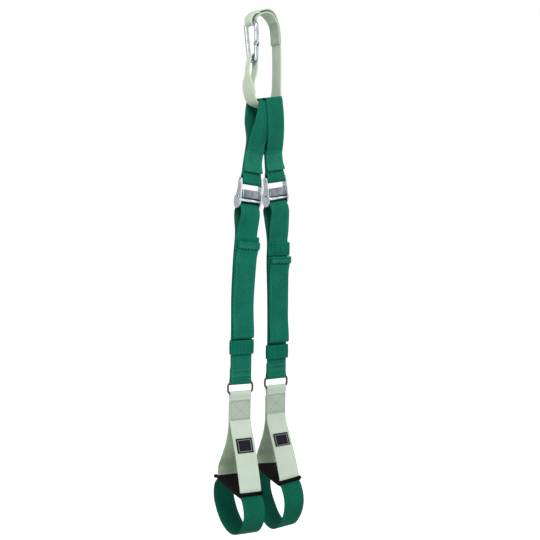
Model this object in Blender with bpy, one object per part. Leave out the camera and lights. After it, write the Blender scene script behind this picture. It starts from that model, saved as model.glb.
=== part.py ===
"""Suspension trainer hanging from its anchor strap. Lengths below are in millimetres, the model is in metres, +Z up.

The anchor strap and a snap hook make a ring. Two sewn loops hang on it, each carries a cam buckle, and a
strap runs from each buckle to a metal ring with a webbing hand grip and a foot loop under it.
The origin is where the support touches the underside of the arch. The top of the trainer is turned by TOP_YAW.
"""
import math

import bmesh
import bpy
from mathutils import Matrix, Vector

GAP = 0.3
TOP_YAW = 19.0

# webbing
WEB_T = 2.0
WEB_W = 38.0
ANCHOR_W = 25.0
LAYER = WEB_T + GAP

# arch of the anchor strap
ARCH_RISE = 8.5
LEG_X = 27.4
RING_DROP = 160.0
TAIL_DROP = 46.0
TOP_ROD = (-34.0, -17.5)
LOW_ROD_X = -28.5

# snap hook
HOOK_ROD_R = 3.5
HOOK_HALF = 13.5
HOOK_LOW_HALF = 9.3
HOOK_LENGTH = 70.0
GATE_LENGTH = 20.5
HOOK_PIN_R = 0.95
PIN_PLAY = 0.25

# sewn upper loops
LOOP_DROP = 130.0
BOX_TOP = 79.0
BOX_LENGTH = 35.0
LOOP_CORNER_R = 3.0

# cam buckle, seen from its side: depth from front to back and height from the upper bar
BAR_R = 2.5
EAR_T = 2.5
EAR_TOP_R = 5.5
EAR_FOOT_R = 9.8
EAR_LENGTH = 32.0
EAR_FOOT_Y = 3.2
SIDE_PLAY = 1.0
BASE_T = 1.6
BASE_Y = 8.4
BASE_TOP = 17.0
BASE_LOW = 38.0
PIVOT = (1.0, -26.0)
PIVOT_R = 1.4
CAM_HUB_R = 3.3
CAM_TOP = 15.2
CAM_LOW = 28.6
CAM_PLATE_T = 2.0
ROLLER = (-3.3, -32.4)
ROLLER_R = 3.0
HEAD_R = 2.5
HEAD_T = 1.0
STEM_R = 1.5

# straps below the buckles
SEWN_RETURN = 24.0
HEM_LENGTH = 11.5
KEEPER_H = 23.0
KEEPER_T = 1.2
KEEPER_LOOSE = 2.4

# metal rings between strap and handle
RING_WIRE_R = 1.75
RING_HEIGHT = 19.0
RING_CORNER_R = 3.0

# hand grips and foot loops
GRIP_BOX_TOP = 11.0
GRIP_BOX_LOW = 45.5
PAD_DROP = 155.5
PAD_LENGTH = 111.0
PAD_W = 46.0
PAD_T = 3.2
PAD_EDGE_R = 1.7
LEG_FROM_END = 5.0
FOOT_DROP = 82.0
FOOT_REACH = 68.0
LABEL_W = 29.0
LABEL_H = 24.0
LABEL_T = 0.8
LABEL_FROM = 73.5

SIDES = {
    "left": dict(sign=-1, top=(-8.2, -151.8), leans=(10.4, 5.4, 4.8, 0.1), yaws=(13.0, -1.0), low_turn=300.0,
                 strap_drop=340.0, fold_up=79.0, hem=100.0, keeper=90.5, below_fold=3.0),
    "right": dict(sign=1, top=(6.5, -145.4), leans=(10.5, 8.5, 0.1, 0.6), yaws=(13.0, 4.0), low_turn=300.0,
                  strap_drop=348.0, fold_up=65.5, hem=132.0, keeper=106.5, below_fold=5.0),
}

for old in list(bpy.data.objects):
    bpy.data.objects.remove(old)
for old in list(bpy.data.meshes):
    bpy.data.meshes.remove(old)

yaw = math.radians(TOP_YAW)
U = Vector((math.cos(yaw), math.sin(yaw), 0))
V = Vector((math.sin(yaw), -math.cos(yaw), 0))
UP = Vector((0, 0, 1))


def material(name, colour, roughness, metallic=0.0):
    mat = bpy.data.materials.new(name)
    mat.use_nodes = True
    shader = mat.node_tree.nodes["Principled BSDF"]
    shader.inputs["Base Color"].default_value = (*colour, 1)
    shader.inputs["Roughness"].default_value = roughness
    shader.inputs["Metallic"].default_value = metallic
    mat.diffuse_color = (*colour, 1)
    return mat


GREEN = (0.013, 0.168, 0.091)
SAGE = (0.56, 0.66, 0.51)
BLACK = (0.012, 0.011, 0.011)
BRIGHT = (0.80, 0.81, 0.83)
DARK_METAL = (0.09, 0.065, 0.055)
CAM_GREY = (0.28, 0.29, 0.32)


def add(name, bm, colour, roughness, metallic=0.0, smooth=None, origin=None):
    """Object of this mesh, given in millimetres of the world, with its origin at `origin`."""
    bmesh.ops.recalc_face_normals(bm, faces=bm.faces)
    at = Vector(origin or (0, 0, 0))
    for vert in bm.verts:
        vert.co = (vert.co - at) * 0.001
    mesh = bpy.data.meshes.new(name)
    bm.to_mesh(mesh)
    bm.free()
    obj = bpy.data.objects.new(name, mesh)
    obj.location = at * 0.001
    bpy.context.scene.collection.objects.link(obj)
    mesh.materials.append(material(name, colour, roughness, metallic))
    if smooth:
        mesh.shade_smooth()
        mesh.set_sharp_from_angle(angle=math.radians(smooth))
    return obj


def boolean(obj, bm, operation, name="cutter"):
    """Boolean with a hidden helper whose mesh is given in millimetres of the world."""
    helper = add(obj.name + "." + name, bm, BLACK, 0.5)
    helper.hide_render = True
    helper.display_type = "WIRE"
    step = obj.modifiers.new(name, "BOOLEAN")
    step.operation = operation
    step.solver = "EXACT"
    step.object = helper


# paths in a plane
def arc(cy, cz, radius, start, end, step=15.0):
    count = max(2, math.ceil(abs(end - start) / step))
    angles = [math.radians(start + (end - start) * i / count) for i in range(count + 1)]
    return [(cy + radius * math.cos(a), cz + radius * math.sin(a)) for a in angles]


def rounded(points, radii, closed=False, step=15.0):
    """A polyline whose corners are arcs of the given radii, one for each corner."""
    count = len(points)
    out = [] if closed else [points[0]]
    for i in range(count) if closed else range(1, count - 1):
        p, q, r = (Vector(points[(i + k) % count]) for k in (-1, 0, 1))
        a, b = (p - q).normalized(), (r - q).normalized()
        turn = math.pi - a.angle(b)
        radius = radii[i if closed else i - 1]
        if turn < 1e-3 or radius == 0:
            out.append(tuple(q))
            continue
        reach = radius * math.tan(turn / 2)
        start, end = q + a * reach, q + b * reach
        centre = q + (a + b).normalized() * (radius / math.cos(turn / 2))
        steps = max(1, math.ceil(math.degrees(turn) / step))
        one, two = start - centre, end - centre
        side = 1 if one.x * two.y - one.y * two.x > 0 else -1
        for k in range(steps + 1):
            angle = side * turn * k / steps
            c, s = math.cos(angle), math.sin(angle)
            out.append((centre.x + one.x * c - one.y * s, centre.y + one.x * s + one.y * c))
    if not closed:
        out.append(points[-1])
    return out


def smooth(points, spacing=1.0):
    """Close points along a smooth curve through the given ones."""
    pts = [Vector(p) for p in points]
    chord = [(b - a).length for a, b in zip(pts, pts[1:])]
    slopes = [(b - a) / d for a, b, d in zip(pts, pts[1:], chord)]
    tangents = [slopes[0]]
    for i in range(1, len(pts) - 1):
        d0, d1 = chord[i - 1], chord[i]
        tangents.append((slopes[i] * d0 + slopes[i - 1] * d1) / (d0 + d1))
    tangents.append(slopes[-1])
    out = [tuple(pts[0])]
    for i, d in enumerate(chord):
        steps = max(1, round(d / spacing))
        for k in range(1, steps + 1):
            t = k / steps
            a, b = 2 * t**3 - 3 * t**2 + 1, t**3 - 2 * t**2 + t
            out.append(tuple(pts[i] * a + tangents[i] * (b * d) + pts[i + 1] * (1 - a)
                             + tangents[i + 1] * ((t**3 - t**2) * d)))
    return out


def thinned(points, angle=9.0, longest=14.0):
    """The same line with fewer points: one wherever it has turned by `angle` or run `longest`."""
    kept, turned, run = [points[0]], 0.0, 0.0
    for a, b, c in zip(points, points[1:], points[2:]):
        first, second = Vector(b) - Vector(a), Vector(c) - Vector(b)
        run += first.length
        if first.length < 1e-6 or second.length < 1e-6:
            continue
        bend = math.degrees(first.angle(second))
        if turned + bend / 2 >= angle or run + second.length > longest or bend > angle:
            kept.append(b)
            turned, run = bend / 2, 0.0
        else:
            turned += bend
    kept.append(points[-1])
    return kept


def joined(*pieces):
    out = []
    for piece in pieces:
        for point in piece:
            if not out or (Vector(point) - Vector(out[-1])).length > 0.05:
                out.append(tuple(point))
    return out


def lengths(path):
    out = [0.0]
    for a, b in zip(path, path[1:]):
        out.append(out[-1] + (Vector(b) - Vector(a)).length)
    return out


def normals(path):
    out = []
    runs = [(Vector(b) - Vector(a)).normalized() for a, b in zip(path, path[1:])]
    for before, after in zip(runs[:1] + runs, runs + runs[-1:]):
        along = (before + after).normalized()
        out.append(Vector((-along.y, along.x)))
    return out


# solids
def strip(path, width, thickness, place, width_at=None, cup=None, columns=1):
    """Flat webbing along a path: place(across, point) gives the world position."""
    bm = bmesh.new()
    rows = []
    for i, (point, normal) in enumerate(zip(path, normals(path))):
        wide = width_at(i) if width_at else width
        row = []
        for side in (1, -1):
            edge = Vector(point) + normal * (side * thickness / 2)
            across = [wide * (k / columns - 0.5) * side for k in range(columns + 1)]
            for x in across:
                lift = cup(i, x) if cup else 0.0
                row.append(bm.verts.new(place(x, (edge.x, edge.y + lift))))
        rows.append(row)
    count = len(rows[0])
    for a, b in zip(rows, rows[1:]):
        for k in range(count):
            bm.faces.new((a[k], a[(k + 1) % count], b[(k + 1) % count], b[k]))
    for row in (rows[0], rows[-1]):
        for k in range(columns):
            bm.faces.new((row[k], row[k + 1], row[count - 2 - k], row[count - 1 - k]))
    return bm


def tube(path, radius, place, sides=10, closed=False):
    """A round rod along a path in a plane: place(out of plane, point) gives the world position."""
    bm = bmesh.new()
    rows = []
    count = len(path)
    for i, point in enumerate(path):
        a = path[(i - 1) % count if closed else max(i - 1, 0)]
        b = path[(i + 1) % count if closed else min(i + 1, count - 1)]
        along = (Vector(b) - Vector(a)).normalized()
        normal = Vector((-along.y, along.x))
        row = []
        for k in range(sides):
            angle = 2 * math.pi * k / sides
            edge = Vector(point) + normal * (radius * math.cos(angle))
            row.append(bm.verts.new(place(radius * math.sin(angle), edge)))
        rows.append(row)
    for i in range(count if closed else count - 1):
        a, b = rows[i], rows[(i + 1) % count]
        for k in range(sides):
            bm.faces.new((a[k], a[(k + 1) % sides], b[(k + 1) % sides], b[k]))
    if not closed:
        bm.faces.new(rows[0])
        bm.faces.new(rows[-1])
    return bm


def turned(profile, place, sides=14):
    """A turned pin: profile of (radius, along), place(along, (y, z)) gives the world position."""
    bm = bmesh.new()
    rows = []
    for radius, along in profile:
        rows.append([bm.verts.new(place(along, (radius * math.cos(2 * math.pi * k / sides),
                                                radius * math.sin(2 * math.pi * k / sides))))
                     for k in range(sides)])
    for a, b in zip(rows, rows[1:]):
        for k in range(sides):
            bm.faces.new((a[k], a[(k + 1) % sides], b[(k + 1) % sides], b[k]))
    bm.faces.new(rows[0])
    bm.faces.new(rows[-1])
    return bm


def prism(outline, low, high, place, inset=0.0):
    """An outline in the (y, z) plane made solid between two x values, with its ends drawn in by `inset`."""
    bm = bmesh.new()
    middle = [sum(p[k] for p in outline) / len(outline) for k in (0, 1)]

    def ring(x, shrink):
        row = []
        for p in outline:
            away = Vector((p[0] - middle[0], p[1] - middle[1]))
            away -= away.normalized() * min(shrink, away.length / 2)
            row.append(bm.verts.new(place(x, (middle[0] + away.x, middle[1] + away.y))))
        return row

    rows = [ring(low, inset)]
    if inset:
        rows += [ring(low + inset, 0), ring(high - inset, 0)]
    rows.append(ring(high, inset))
    count = len(outline)
    for a, b in zip(rows, rows[1:]):
        for k in range(count):
            bm.faces.new((a[k], a[(k + 1) % count], b[(k + 1) % count], b[k]))
    bm.faces.new(rows[0])
    bm.faces.new(rows[-1])
    return bm


def box(x, y, z, place):
    return prism([(y[0], z[0]), (y[1], z[0]), (y[1], z[1]), (y[0], z[1])], x[0], x[1], place)


def rivet(half, body_r, stem_r, place, sides=14):
    """A bar between two ears, with thinner stems through them and a head outside each."""
    inner, outer = half, half + EAR_T + 2 * GAP
    ends = [(HEAD_R * 0.6, outer + HEAD_T), (HEAD_R, outer + HEAD_T * 0.5), (HEAD_R, outer),
            (stem_r, outer), (stem_r, inner)]
    if body_r > stem_r:
        ends.append((body_r, inner))
    return turned([(r, -x) for r, x in ends] + [(r, x) for r, x in reversed(ends)], place, sides)


# the anchor strap and the snap hook
def ring_place(v, point):
    return U * point[0] + V * v + UP * point[1]


HOOK_LEAN = math.atan2(LOW_ROD_X - TOP_ROD[0], HOOK_LENGTH - 2 * HOOK_ROD_R)


def hook_place(u, point):
    """u across the hook's plane, point in it: (v, z) with z measured from the top rod's middle."""
    v, z = point
    c, s = math.cos(HOOK_LEAN), math.sin(HOOK_LEAN)
    return U * (TOP_ROD[0] + u * c - z * s) + V * v + UP * (TOP_ROD[1] + u * s + z * c)


low_rod_z = TOP_ROD[1] - (HOOK_LENGTH - 2 * HOOK_ROD_R)
wrap = HOOK_ROD_R + GAP + WEB_T / 2 + 0.8
over, under = TOP_ROD[1] + 6, low_rod_z - 10
tail_side = smooth([
    (LEG_X - 2.3 - LAYER, -TAIL_DROP), (21.3, -30), (17.0, -13.9), (9.4, -4.4), (3, -0.2), (-4, WEB_T / 2),
    (-15, -0.9), (-24, -4.8), (TOP_ROD[0] + wrap, over - 1)])
outer_side = smooth([
    (TOP_ROD[0] - wrap, over), (-34.5, -5.4), (-27, -0.4), (-16, 4.6), (-4, ARCH_RISE), (4, ARCH_RISE - 1.7),
    (12, -1.5), (19.5, -13), (23.4, -27), (LEG_X - 2.1, -TAIL_DROP), (LEG_X - 0.4, -77), (LEG_X, -115),
    (LEG_X, -RING_DROP + 30), (LEG_X - 1.1, -RING_DROP + 14), (19.5, -RING_DROP + 4.0), (8, -RING_DROP - 0.5),
    (-12, -RING_DROP + 1.8), (-27.8, -RING_DROP + 7.6), (-35.0, -RING_DROP + 22), (-37.4, -118),
    (LOW_ROD_X - wrap, under)])
end_side = smooth([(LOW_ROD_X + wrap, under), (-26.5, -103), (-37.4 + LAYER + 0.2, -118),
                   (-34.8 + LAYER, -RING_DROP + 25)])
anchor_line = thinned(joined(
    tail_side, arc(*TOP_ROD, wrap, 0, -180), outer_side,
    arc(LOW_ROD_X, low_rod_z, wrap, 180, 0), end_side), angle=11, longest=12)


def near_rod(i):
    """1 at a rod of the hook and 0 away from it, and the sign of the rod's bend."""
    u, z = anchor_line[i]
    for (cu, cz), bend, half in ((TOP_ROD, -1, 8.3), ((LOW_ROD_X, low_rod_z), 1, 4.8)):
        far = math.hypot(u - cu, z - cz)
        t = min(1.0, max(0.0, (far - wrap) / 24.0))
        share = 1 - t * t * (3 - 2 * t)
        if share > 0:
            return share, bend, half
    return 0.0, 1, 8.0


def anchor_width(i):
    share, _, half = near_rod(i)
    return ANCHOR_W + (2 * half - ANCHOR_W) * share


def anchor_cup(i, x):
    """The gathered webbing follows the bend of the rod that it lies round."""
    share, bend, half = near_rod(i)
    radius = 20.0 if bend < 0 else 12.0
    return bend * share * (radius - math.sqrt(radius**2 - min(abs(x), half + 1) ** 2))


add("anchor_strap", strip(anchor_line, ANCHOR_W, WEB_T, ring_place, anchor_width, anchor_cup, 4),
    SAGE, 0.85)

# centre line of the hook's rod, in (v, z) with z from the top rod's middle
gate_foot = Vector((HOOK_HALF - 1.7, -GATE_LENGTH - 16.0))
gate_head = Vector((HOOK_HALF, -16.0))
gate_up = (gate_head - gate_foot).normalized()
gate_out = Vector((gate_up.y, -gate_up.x))
low = -(HOOK_LENGTH - 2 * HOOK_ROD_R)
peak, foot = 20 * (1 / math.cos(math.radians(24)) - 1), 12 * (1 / math.cos(math.radians(25.8)) - 1)
rod_line = rounded(
    [tuple(gate_head), (HOOK_HALF, peak - 6.0), (0, peak), (-HOOK_HALF, peak - 6.0),
     (-HOOK_LOW_HALF, low - foot + 4.5), (0, low - foot), (HOOK_LOW_HALF, low - foot + 4.5),
     tuple(gate_foot)],
    [8.0, 20.0, 8.0, 7.0, 12.0, 7.0], step=12)
body = add("carabiner_body", tube(rod_line, HOOK_ROD_R, hook_place, 12), BRIGHT, 0.22, 1.0, smooth=50)


def gate_place(u, point):
    """Point along the gate: (outward, up) from the pivot."""
    return hook_place(u, gate_foot + gate_out * point[0] + gate_up * point[1])


def disc(radius, count=16):
    return arc(0, 0, radius, 0, 360 - 360 / count, 360 / count)


boolean(body, prism(disc(HOOK_ROD_R, 20), -HOOK_ROD_R, HOOK_ROD_R, gate_place), "UNION", "knuckle")
boolean(body, box((-0.9, 0.9), (-2.6, 2.6), (GATE_LENGTH - 4.4, GATE_LENGTH + 1.5), gate_place), "UNION", "blade")
boolean(body, box((-1.5, 1.5), (-6, 6), (-4.2, 5.5), gate_place), "DIFFERENCE", "fork")
boolean(body, prism(disc(HOOK_PIN_R + PIN_PLAY), -6, 6, gate_place), "DIFFERENCE", "pin_hole")
nose_z = GATE_LENGTH - 2.4
notch = [(-6, nose_z - 1.0), (0, nose_z - 1.0), (0.7, nose_z - 0.7), (1.0, nose_z), (0.7, nose_z + 0.7),
         (0, nose_z + 1.0), (-6, nose_z + 1.0)]
boolean(body, prism(notch, -2, 2, gate_place), "DIFFERENCE", "notch")

gate_pivot = gate_place(0, (0, 0))
gate_top, gate_low = GATE_LENGTH - GAP, HOOK_ROD_R + 0.5
gate = add("carabiner_gate", turned([(HOOK_ROD_R - 0.5, gate_low), (HOOK_ROD_R - 0.1, gate_low + 0.6),
                                     (HOOK_ROD_R - 0.1, gate_top - 0.5), (HOOK_ROD_R - 0.5, gate_top)],
                                    lambda along, p: gate_place(p[0], (p[1], along)), 12),
           BRIGHT, 0.22, 1.0, smooth=50, origin=gate_pivot)
tongue = [(-2.6, gate_low + 2), (-2.6, 0)] + arc(0, 0, 2.6, 180, 360, 20)[1:-1] + [(2.6, 0), (2.6, gate_low + 2)]
boolean(gate, prism(tongue, -1.2, 1.2, gate_place), "UNION", "tongue")
boolean(gate, box((-1.2, 1.2), (-6, 6), (GATE_LENGTH - 5.2, GATE_LENGTH + 2), gate_place), "DIFFERENCE", "slot")
boolean(gate, prism(disc(HOOK_PIN_R + PIN_PLAY), -3, 3, gate_place), "DIFFERENCE", "pin_hole")
boolean(gate, prism([(x, z + nose_z) for x, z in disc(0.7 + PIN_PLAY, 12)], -6, 6, gate_place),
        "DIFFERENCE", "nose_hole")


def pin_at(height):
    return lambda along, p: gate_place(along, (p[0], p[1] + height))


add("gate_pivot_pin", turned([(HOOK_PIN_R, -HOOK_ROD_R - 0.2), (HOOK_PIN_R, HOOK_ROD_R + 0.2)], pin_at(0), 12),
    BRIGHT, 0.3, 1.0, smooth=50)
add("gate_nose_pin", turned([(0.7, -HOOK_ROD_R + 0.2), (0.7, HOOK_ROD_R - 0.2)], pin_at(nose_z), 10),
    BRIGHT, 0.3, 1.0, smooth=50)


# one side: loop, buckle, strap, ring and handle
class Hang:
    """The line that one side hangs along: place(x, (y, h)) with h below zero down from the loop's fold."""

    def __init__(self, sign, top, leans, yaws, low_turn, **_):
        self.sign = sign
        self.start = U * top[0] + UP * top[1]
        self.leans, self.yaws, self.low_turn = leans, yaws, low_turn
        self.rigid = LOOP_DROP + EAR_LENGTH + EAR_FOOT_R + 4.0
        self.points = [self.start]
        for i in range(1000):
            self.points.append(self.points[-1] - self.axes(i + 0.5)[2])

    def axes(self, s):
        """Across, backward and upward directions at the distance s down the line."""

        def blend(a, b, start, end):
            t = min(1.0, max(0.0, (s - start) / (end - start)))
            return a + (b - a) * t * t * (3 - 2 * t)

        first, second, third, fourth = self.leans
        lean = blend(first, second, BOX_TOP - 4.0, BOX_TOP + BOX_LENGTH + 2.0)
        lean = blend(lean, third, self.rigid, self.rigid + 30)
        lean = blend(lean, fourth, self.low_turn, self.low_turn + 40)
        turn = blend(TOP_YAW, self.yaws[0], BOX_TOP - 4.0, BOX_TOP + BOX_LENGTH + 2.0)
        turn = math.radians(blend(turn, self.yaws[1], self.rigid - 2.0, self.rigid + 42))
        tilt = Matrix.Rotation(math.radians(self.sign * lean), 3, V)
        return (tilt @ Vector((math.cos(turn), math.sin(turn), 0)),
                tilt @ Vector((-math.sin(turn), math.cos(turn), 0)), tilt @ UP)

    def at(self, s):
        if s < 0:
            return self.start - self.axes(0)[2] * s
        i = min(int(s), len(self.points) - 2)
        return self.points[i].lerp(self.points[i + 1], s - i)

    def place(self, x, point):
        across, back, _ = self.axes(-point[1])
        return self.at(-point[1]) + across * x + back * point[0]

    def rigid_place(self, drop):
        """The same for a stiff piece whose origin is this far down."""
        origin, (across, back, up) = self.at(drop), self.axes(drop)
        return lambda x, point: origin + across * x + back * point[0] + up * point[1]


def ring_band(half_x, half_y, shift, height, thickness, place):
    """A flat elastic band round the straps: its outline in (x, y), its height along the strap."""
    inner = [(shift[0] - half_x, shift[1] - half_y), (shift[0] + half_x, shift[1] - half_y),
             (shift[0] + half_x, shift[1] + half_y), (shift[0] - half_x, shift[1] + half_y)]
    radius = min(half_y * 0.9, 1.5)
    inner = rounded(inner, [radius] * 4, closed=True, step=30)
    bm = bmesh.new()
    rows = []
    count = len(inner)
    levels = [-height * k / 3 for k in range(4)]
    for grow, level in [(0, z) for z in levels] + [(thickness, z) for z in reversed(levels)]:
        row = []
        for i, p in enumerate(inner):
            a, b = Vector(inner[i - 1]), Vector(inner[(i + 1) % count])
            along = (b - a).normalized()
            row.append(bm.verts.new(place(p[0] + along.y * grow, (p[1] - along.x * grow, level))))
        rows.append(row)
    for a, b in zip(rows, rows[1:] + rows[:1]):
        for k in range(count):
            bm.faces.new((a[k], a[(k + 1) % count], b[(k + 1) % count], b[k]))
    return bm


def build_side(name, strap_drop, fold_up, hem, keeper, below_fold, **line):
    hang = Hang(**line)
    tail = strap_drop - fold_up
    low_keeper = tail + below_fold
    bar_wrap = BAR_R + GAP + WEB_T / 2
    half = LAYER / 2

    # sewn loop: front end, up and over the anchor strap, down to the buckle's bar and up between the layers
    nest, lag = (LAYER + 0.5, 6.4) if line["sign"] > 0 else (0.0, 0.0)
    meet, part = (BOX_TOP + 7.0, 9.0) if nest else (BOX_TOP - 8.0, 5.0)
    top_half = ANCHOR_W / 2 + LOOP_CORNER_R - 0.4 + nest
    box_low = BOX_TOP + BOX_LENGTH
    flare = LOOP_DROP - 6.0
    path = joined(
        smooth([(-half - LAYER, -box_low + 0.5), (-half - LAYER, -meet)]),
        smooth([(-half - LAYER, -meet), (-half - LAYER - 0.4 - nest, -meet + part), (-top_half + 1.4, -26 - lag),
                (-top_half, -9 - lag)]),
        rounded([(-top_half, -9 - lag), (-top_half, 0), (top_half, 0), (top_half, -9 - lag)], [LOOP_CORNER_R] * 2),
        smooth([(top_half, -9 - lag), (top_half - 1.4, -26 - lag), (half + 0.4 + nest, -meet + part), (half, -meet)]),
        smooth([(half, -meet), (half, -box_low + 6)]),
        smooth([(half, -box_low + 6), (half, -box_low + 2), (bar_wrap - 0.5, -flare + 1.5), (bar_wrap, -LOOP_DROP)]),
        arc(0, -LOOP_DROP, bar_wrap, 0, -180),
        smooth([(-bar_wrap, -LOOP_DROP), (-bar_wrap + 0.5, -flare + 1.5), (-half, -box_low - 1),
                (-half, -box_low + 3)]),
        smooth([(-half, -box_low + 3), (-half, -BOX_TOP)]))
    add(name + "_upper_loop", strip(thinned(path, longest=8), WEB_W, WEB_T, hang.place, columns=4), GREEN, 0.85)

    # cam buckle
    place = hang.rigid_place(LOOP_DROP)
    pivot_at = place(0, PIVOT)
    bar_at = place(0, (0, 0))
    inner = WEB_W / 2 + SIDE_PLAY
    outer = inner + EAR_T
    foot = (EAR_FOOT_Y, -EAR_LENGTH)
    ear = (arc(0, 1, EAR_TOP_R, 0, 180, 20)
           + [(-EAR_TOP_R - 0.7, -18.0)]
           + arc(*foot, EAR_FOOT_R, 178, 405, 16)
           + [(EAR_TOP_R + 2.2, -20.5), (EAR_TOP_R, -14.0)])
    frame = add(name + "_buckle_frame", prism(ear, -outer, -inner, place, inset=0.5), BRIGHT, 0.25, 1.0,
                smooth=35, origin=bar_at)
    boolean(frame, box((-inner - EAR_T / 2, inner + EAR_T / 2), (BASE_Y - BASE_T / 2, BASE_Y + BASE_T / 2),
                       (-BASE_LOW, -BASE_TOP - BASE_T / 2), place), "UNION", "base")
    boolean(frame, prism([(y + BASE_Y, z - BASE_TOP - BASE_T / 2) for y, z in disc(BASE_T / 2 + 0.01, 12)],
                         -inner - EAR_T / 2, inner + EAR_T / 2, place), "UNION", "base_edge")
    boolean(frame, prism(ear, inner, outer, place, inset=0.5), "UNION", "far_ear")
    for label, centre in (("bar_hole", (0, 0)), ("pivot_hole", PIVOT), ("roller_hole", ROLLER)):
        radius = (PIVOT_R if label == "pivot_hole" else STEM_R) + PIN_PLAY
        boolean(frame, prism([(y + centre[0], z + centre[1]) for y, z in disc(radius, 12)],
                             -outer - 3, outer + 3, place), "DIFFERENCE", label)

    def around(centre):
        return lambda along, p: place(along, (p[0] + centre[0], p[1] + centre[1]))

    add(name + "_buckle_bar", rivet(inner - GAP, BAR_R, STEM_R, around((0, 0))), BRIGHT, 0.25, 1.0, smooth=40)
    add(name + "_buckle_roller", rivet(inner - GAP, ROLLER_R, STEM_R, around(ROLLER)), BRIGHT, 0.2, 1.0,
        smooth=40)
    add(name + "_cam_pivot", rivet(inner - GAP, PIVOT_R, PIVOT_R, around(PIVOT)), BRIGHT, 0.3, 1.0, smooth=40)

    # cam lever: a hub with three teeth behind it and the pressing plate in front
    hub, (py, pz) = CAM_HUB_R, PIVOT
    tooth = BASE_Y - BASE_T / 2 - GAP - WEB_T - GAP - py
    plate_y, plate_low_y = -5.2, -5.9
    cam = [(plate_y, -CAM_TOP), (plate_y + CAM_PLATE_T, -CAM_TOP),
           (plate_low_y + CAM_PLATE_T + 0.3, pz + 2.6), (py - 1.5, pz + hub)]
    cam += [(py + math.cos(math.radians(a)) * r, pz + math.sin(math.radians(a)) * r)
            for a, r in ((75, hub), (50, hub), (30, hub), (20, tooth), (14, hub + 0.1), (8, tooth),
                         (2, hub + 0.1), (-4, tooth), (-18, hub), (-45, hub), (-70, hub), (-95, hub),
                         (-120, hub), (-150, hub))]
    cam += [(plate_low_y + CAM_PLATE_T, -CAM_LOW), (plate_low_y, -CAM_LOW)]
    lever = add(name + "_cam_lever", prism(cam, -inner + 1.2, inner - 1.2, place), CAM_GREY, 0.4, 1.0,
                smooth=25, origin=pivot_at)
    boolean(lever, prism([(y + py, z + pz) for y, z in disc(PIVOT_R + PIN_PLAY, 14)], -outer, outer, place),
            "DIFFERENCE", "bore")

    # adjusting strap, from the ring's upper side up behind the buckle, through the cam and down in front
    wire_wrap = RING_WIRE_R + GAP + WEB_T / 2
    bottom = LOOP_DROP + strap_drop - wire_wrap - WEB_T / 2
    d = LOOP_DROP
    load_y, tail_y = 1.2, -1.2
    rear_y = BASE_Y + BASE_T / 2 + GAP + WEB_T / 2
    cam_y = BASE_Y - BASE_T / 2 - GAP - WEB_T / 2
    bend = (rear_y - cam_y) / 2
    turn_z = -d - BASE_TOP - BASE_T / 2
    lift = hem < keeper + KEEPER_H + 5.0
    front = -half - LAYER - (3.2 if lift else 1.6)
    path = joined(
        [(half, -bottom + SEWN_RETURN), (half, -bottom + 9)],
        smooth([(half, -bottom + 9), (wire_wrap - 0.3, -bottom + 2.5), (wire_wrap, -bottom)]),
        arc(0, -bottom, wire_wrap, 0, -180),
        smooth([(-wire_wrap, -bottom), (-wire_wrap + 0.3, -bottom + 2.5), (-half, -bottom + 9),
                (-half, -bottom + 12)]),
        [(-half, -bottom + 12), (-half, -bottom + SEWN_RETURN)],
        smooth([(-half, -bottom + SEWN_RETURN), (-half, -d - low_keeper + 4), (-half, -d - low_keeper + 8),
                (0.4, -d - 200), (load_y, -d - keeper - KEEPER_H - 8), (load_y, -d - keeper - KEEPER_H - 4),
                (load_y, -d - keeper + 4), (load_y + 0.3, -d - keeper + 8), (5.6, -d - 66),
                (rear_y, -d - BASE_LOW - 4), (rear_y, -d - 30), (rear_y, turn_z)]),
        arc(BASE_Y, turn_z, bend, 0, 180),
        smooth([(cam_y, turn_z), (cam_y, -d - 24), (cam_y, -d - 29.5), (cam_y - 2.6, -d - 34.5),
                (0.0, -d - 39.5), (-2.6, -d - 47), (-3.6, -d - 60), (tail_y - 1.0, -d - keeper + 14),
                (tail_y, -d - keeper + 6), (tail_y, -d - keeper + 2), (tail_y, -d - keeper - KEEPER_H - 2),
                (tail_y, -d - keeper - KEEPER_H - 6), (-2.6, -d - 180),
                (-half - LAYER - 0.8, -d - low_keeper + 24), (-half - LAYER - 1.4, -d - tail + 10),
                (-half - LAYER - 1.2, -d - tail + 4)]),
        arc(-half - LAYER - 4.2, -d - tail + 4, 3.0, 0, -180),
        smooth([(-half - LAYER - 7.2, -d - tail + 4), (-half - LAYER - 7.0, -d - tail + 12),
                (-half - LAYER - 3.6, -d - tail + 40), (-half - LAYER - 3.2, -d - (hem + tail) / 2),
                (front, -d - hem - 30), (front - 0.8, -d - hem - HEM_LENGTH - 2),
                (front - 0.9, -d - hem - HEM_LENGTH), (front - 1.4, -d - hem - 1.6)]))
    fold = half + 0.25
    path += arc(front - 1.4 - fold, -d - hem - 1.6, fold, 0, 180)[1:]
    path += [(front - 0.9 - 2 * fold, -d - hem - HEM_LENGTH)]
    add(name + "_adjusting_strap", strip(thinned(path, longest=8), WEB_W, WEB_T, hang.place), GREEN, 0.85)

    play = 0.4
    def band(x, point):
        return hang.place(x, (point[0], point[1] - d - keeper))

    add(name + "_upper_keeper",
        ring_band(WEB_W / 2 + 2 * play + KEEPER_LOOSE / 2, WEB_T + half - 1.0 + 0.25 + play / 2 + 0.2,
                  (KEEPER_LOOSE / 2, 0.0), KEEPER_H, KEEPER_T, band), GREEN, 0.9)

    def low_band(x, point):
        return hang.place(x, (point[0], point[1] - d - low_keeper))

    add(name + "_lower_keeper",
        ring_band(WEB_W / 2 + 2 * play, WEB_T / 2 + 2 * play, (0, -half + 0.2), KEEPER_H, KEEPER_T,
                  low_band), GREEN, 0.9)

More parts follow.
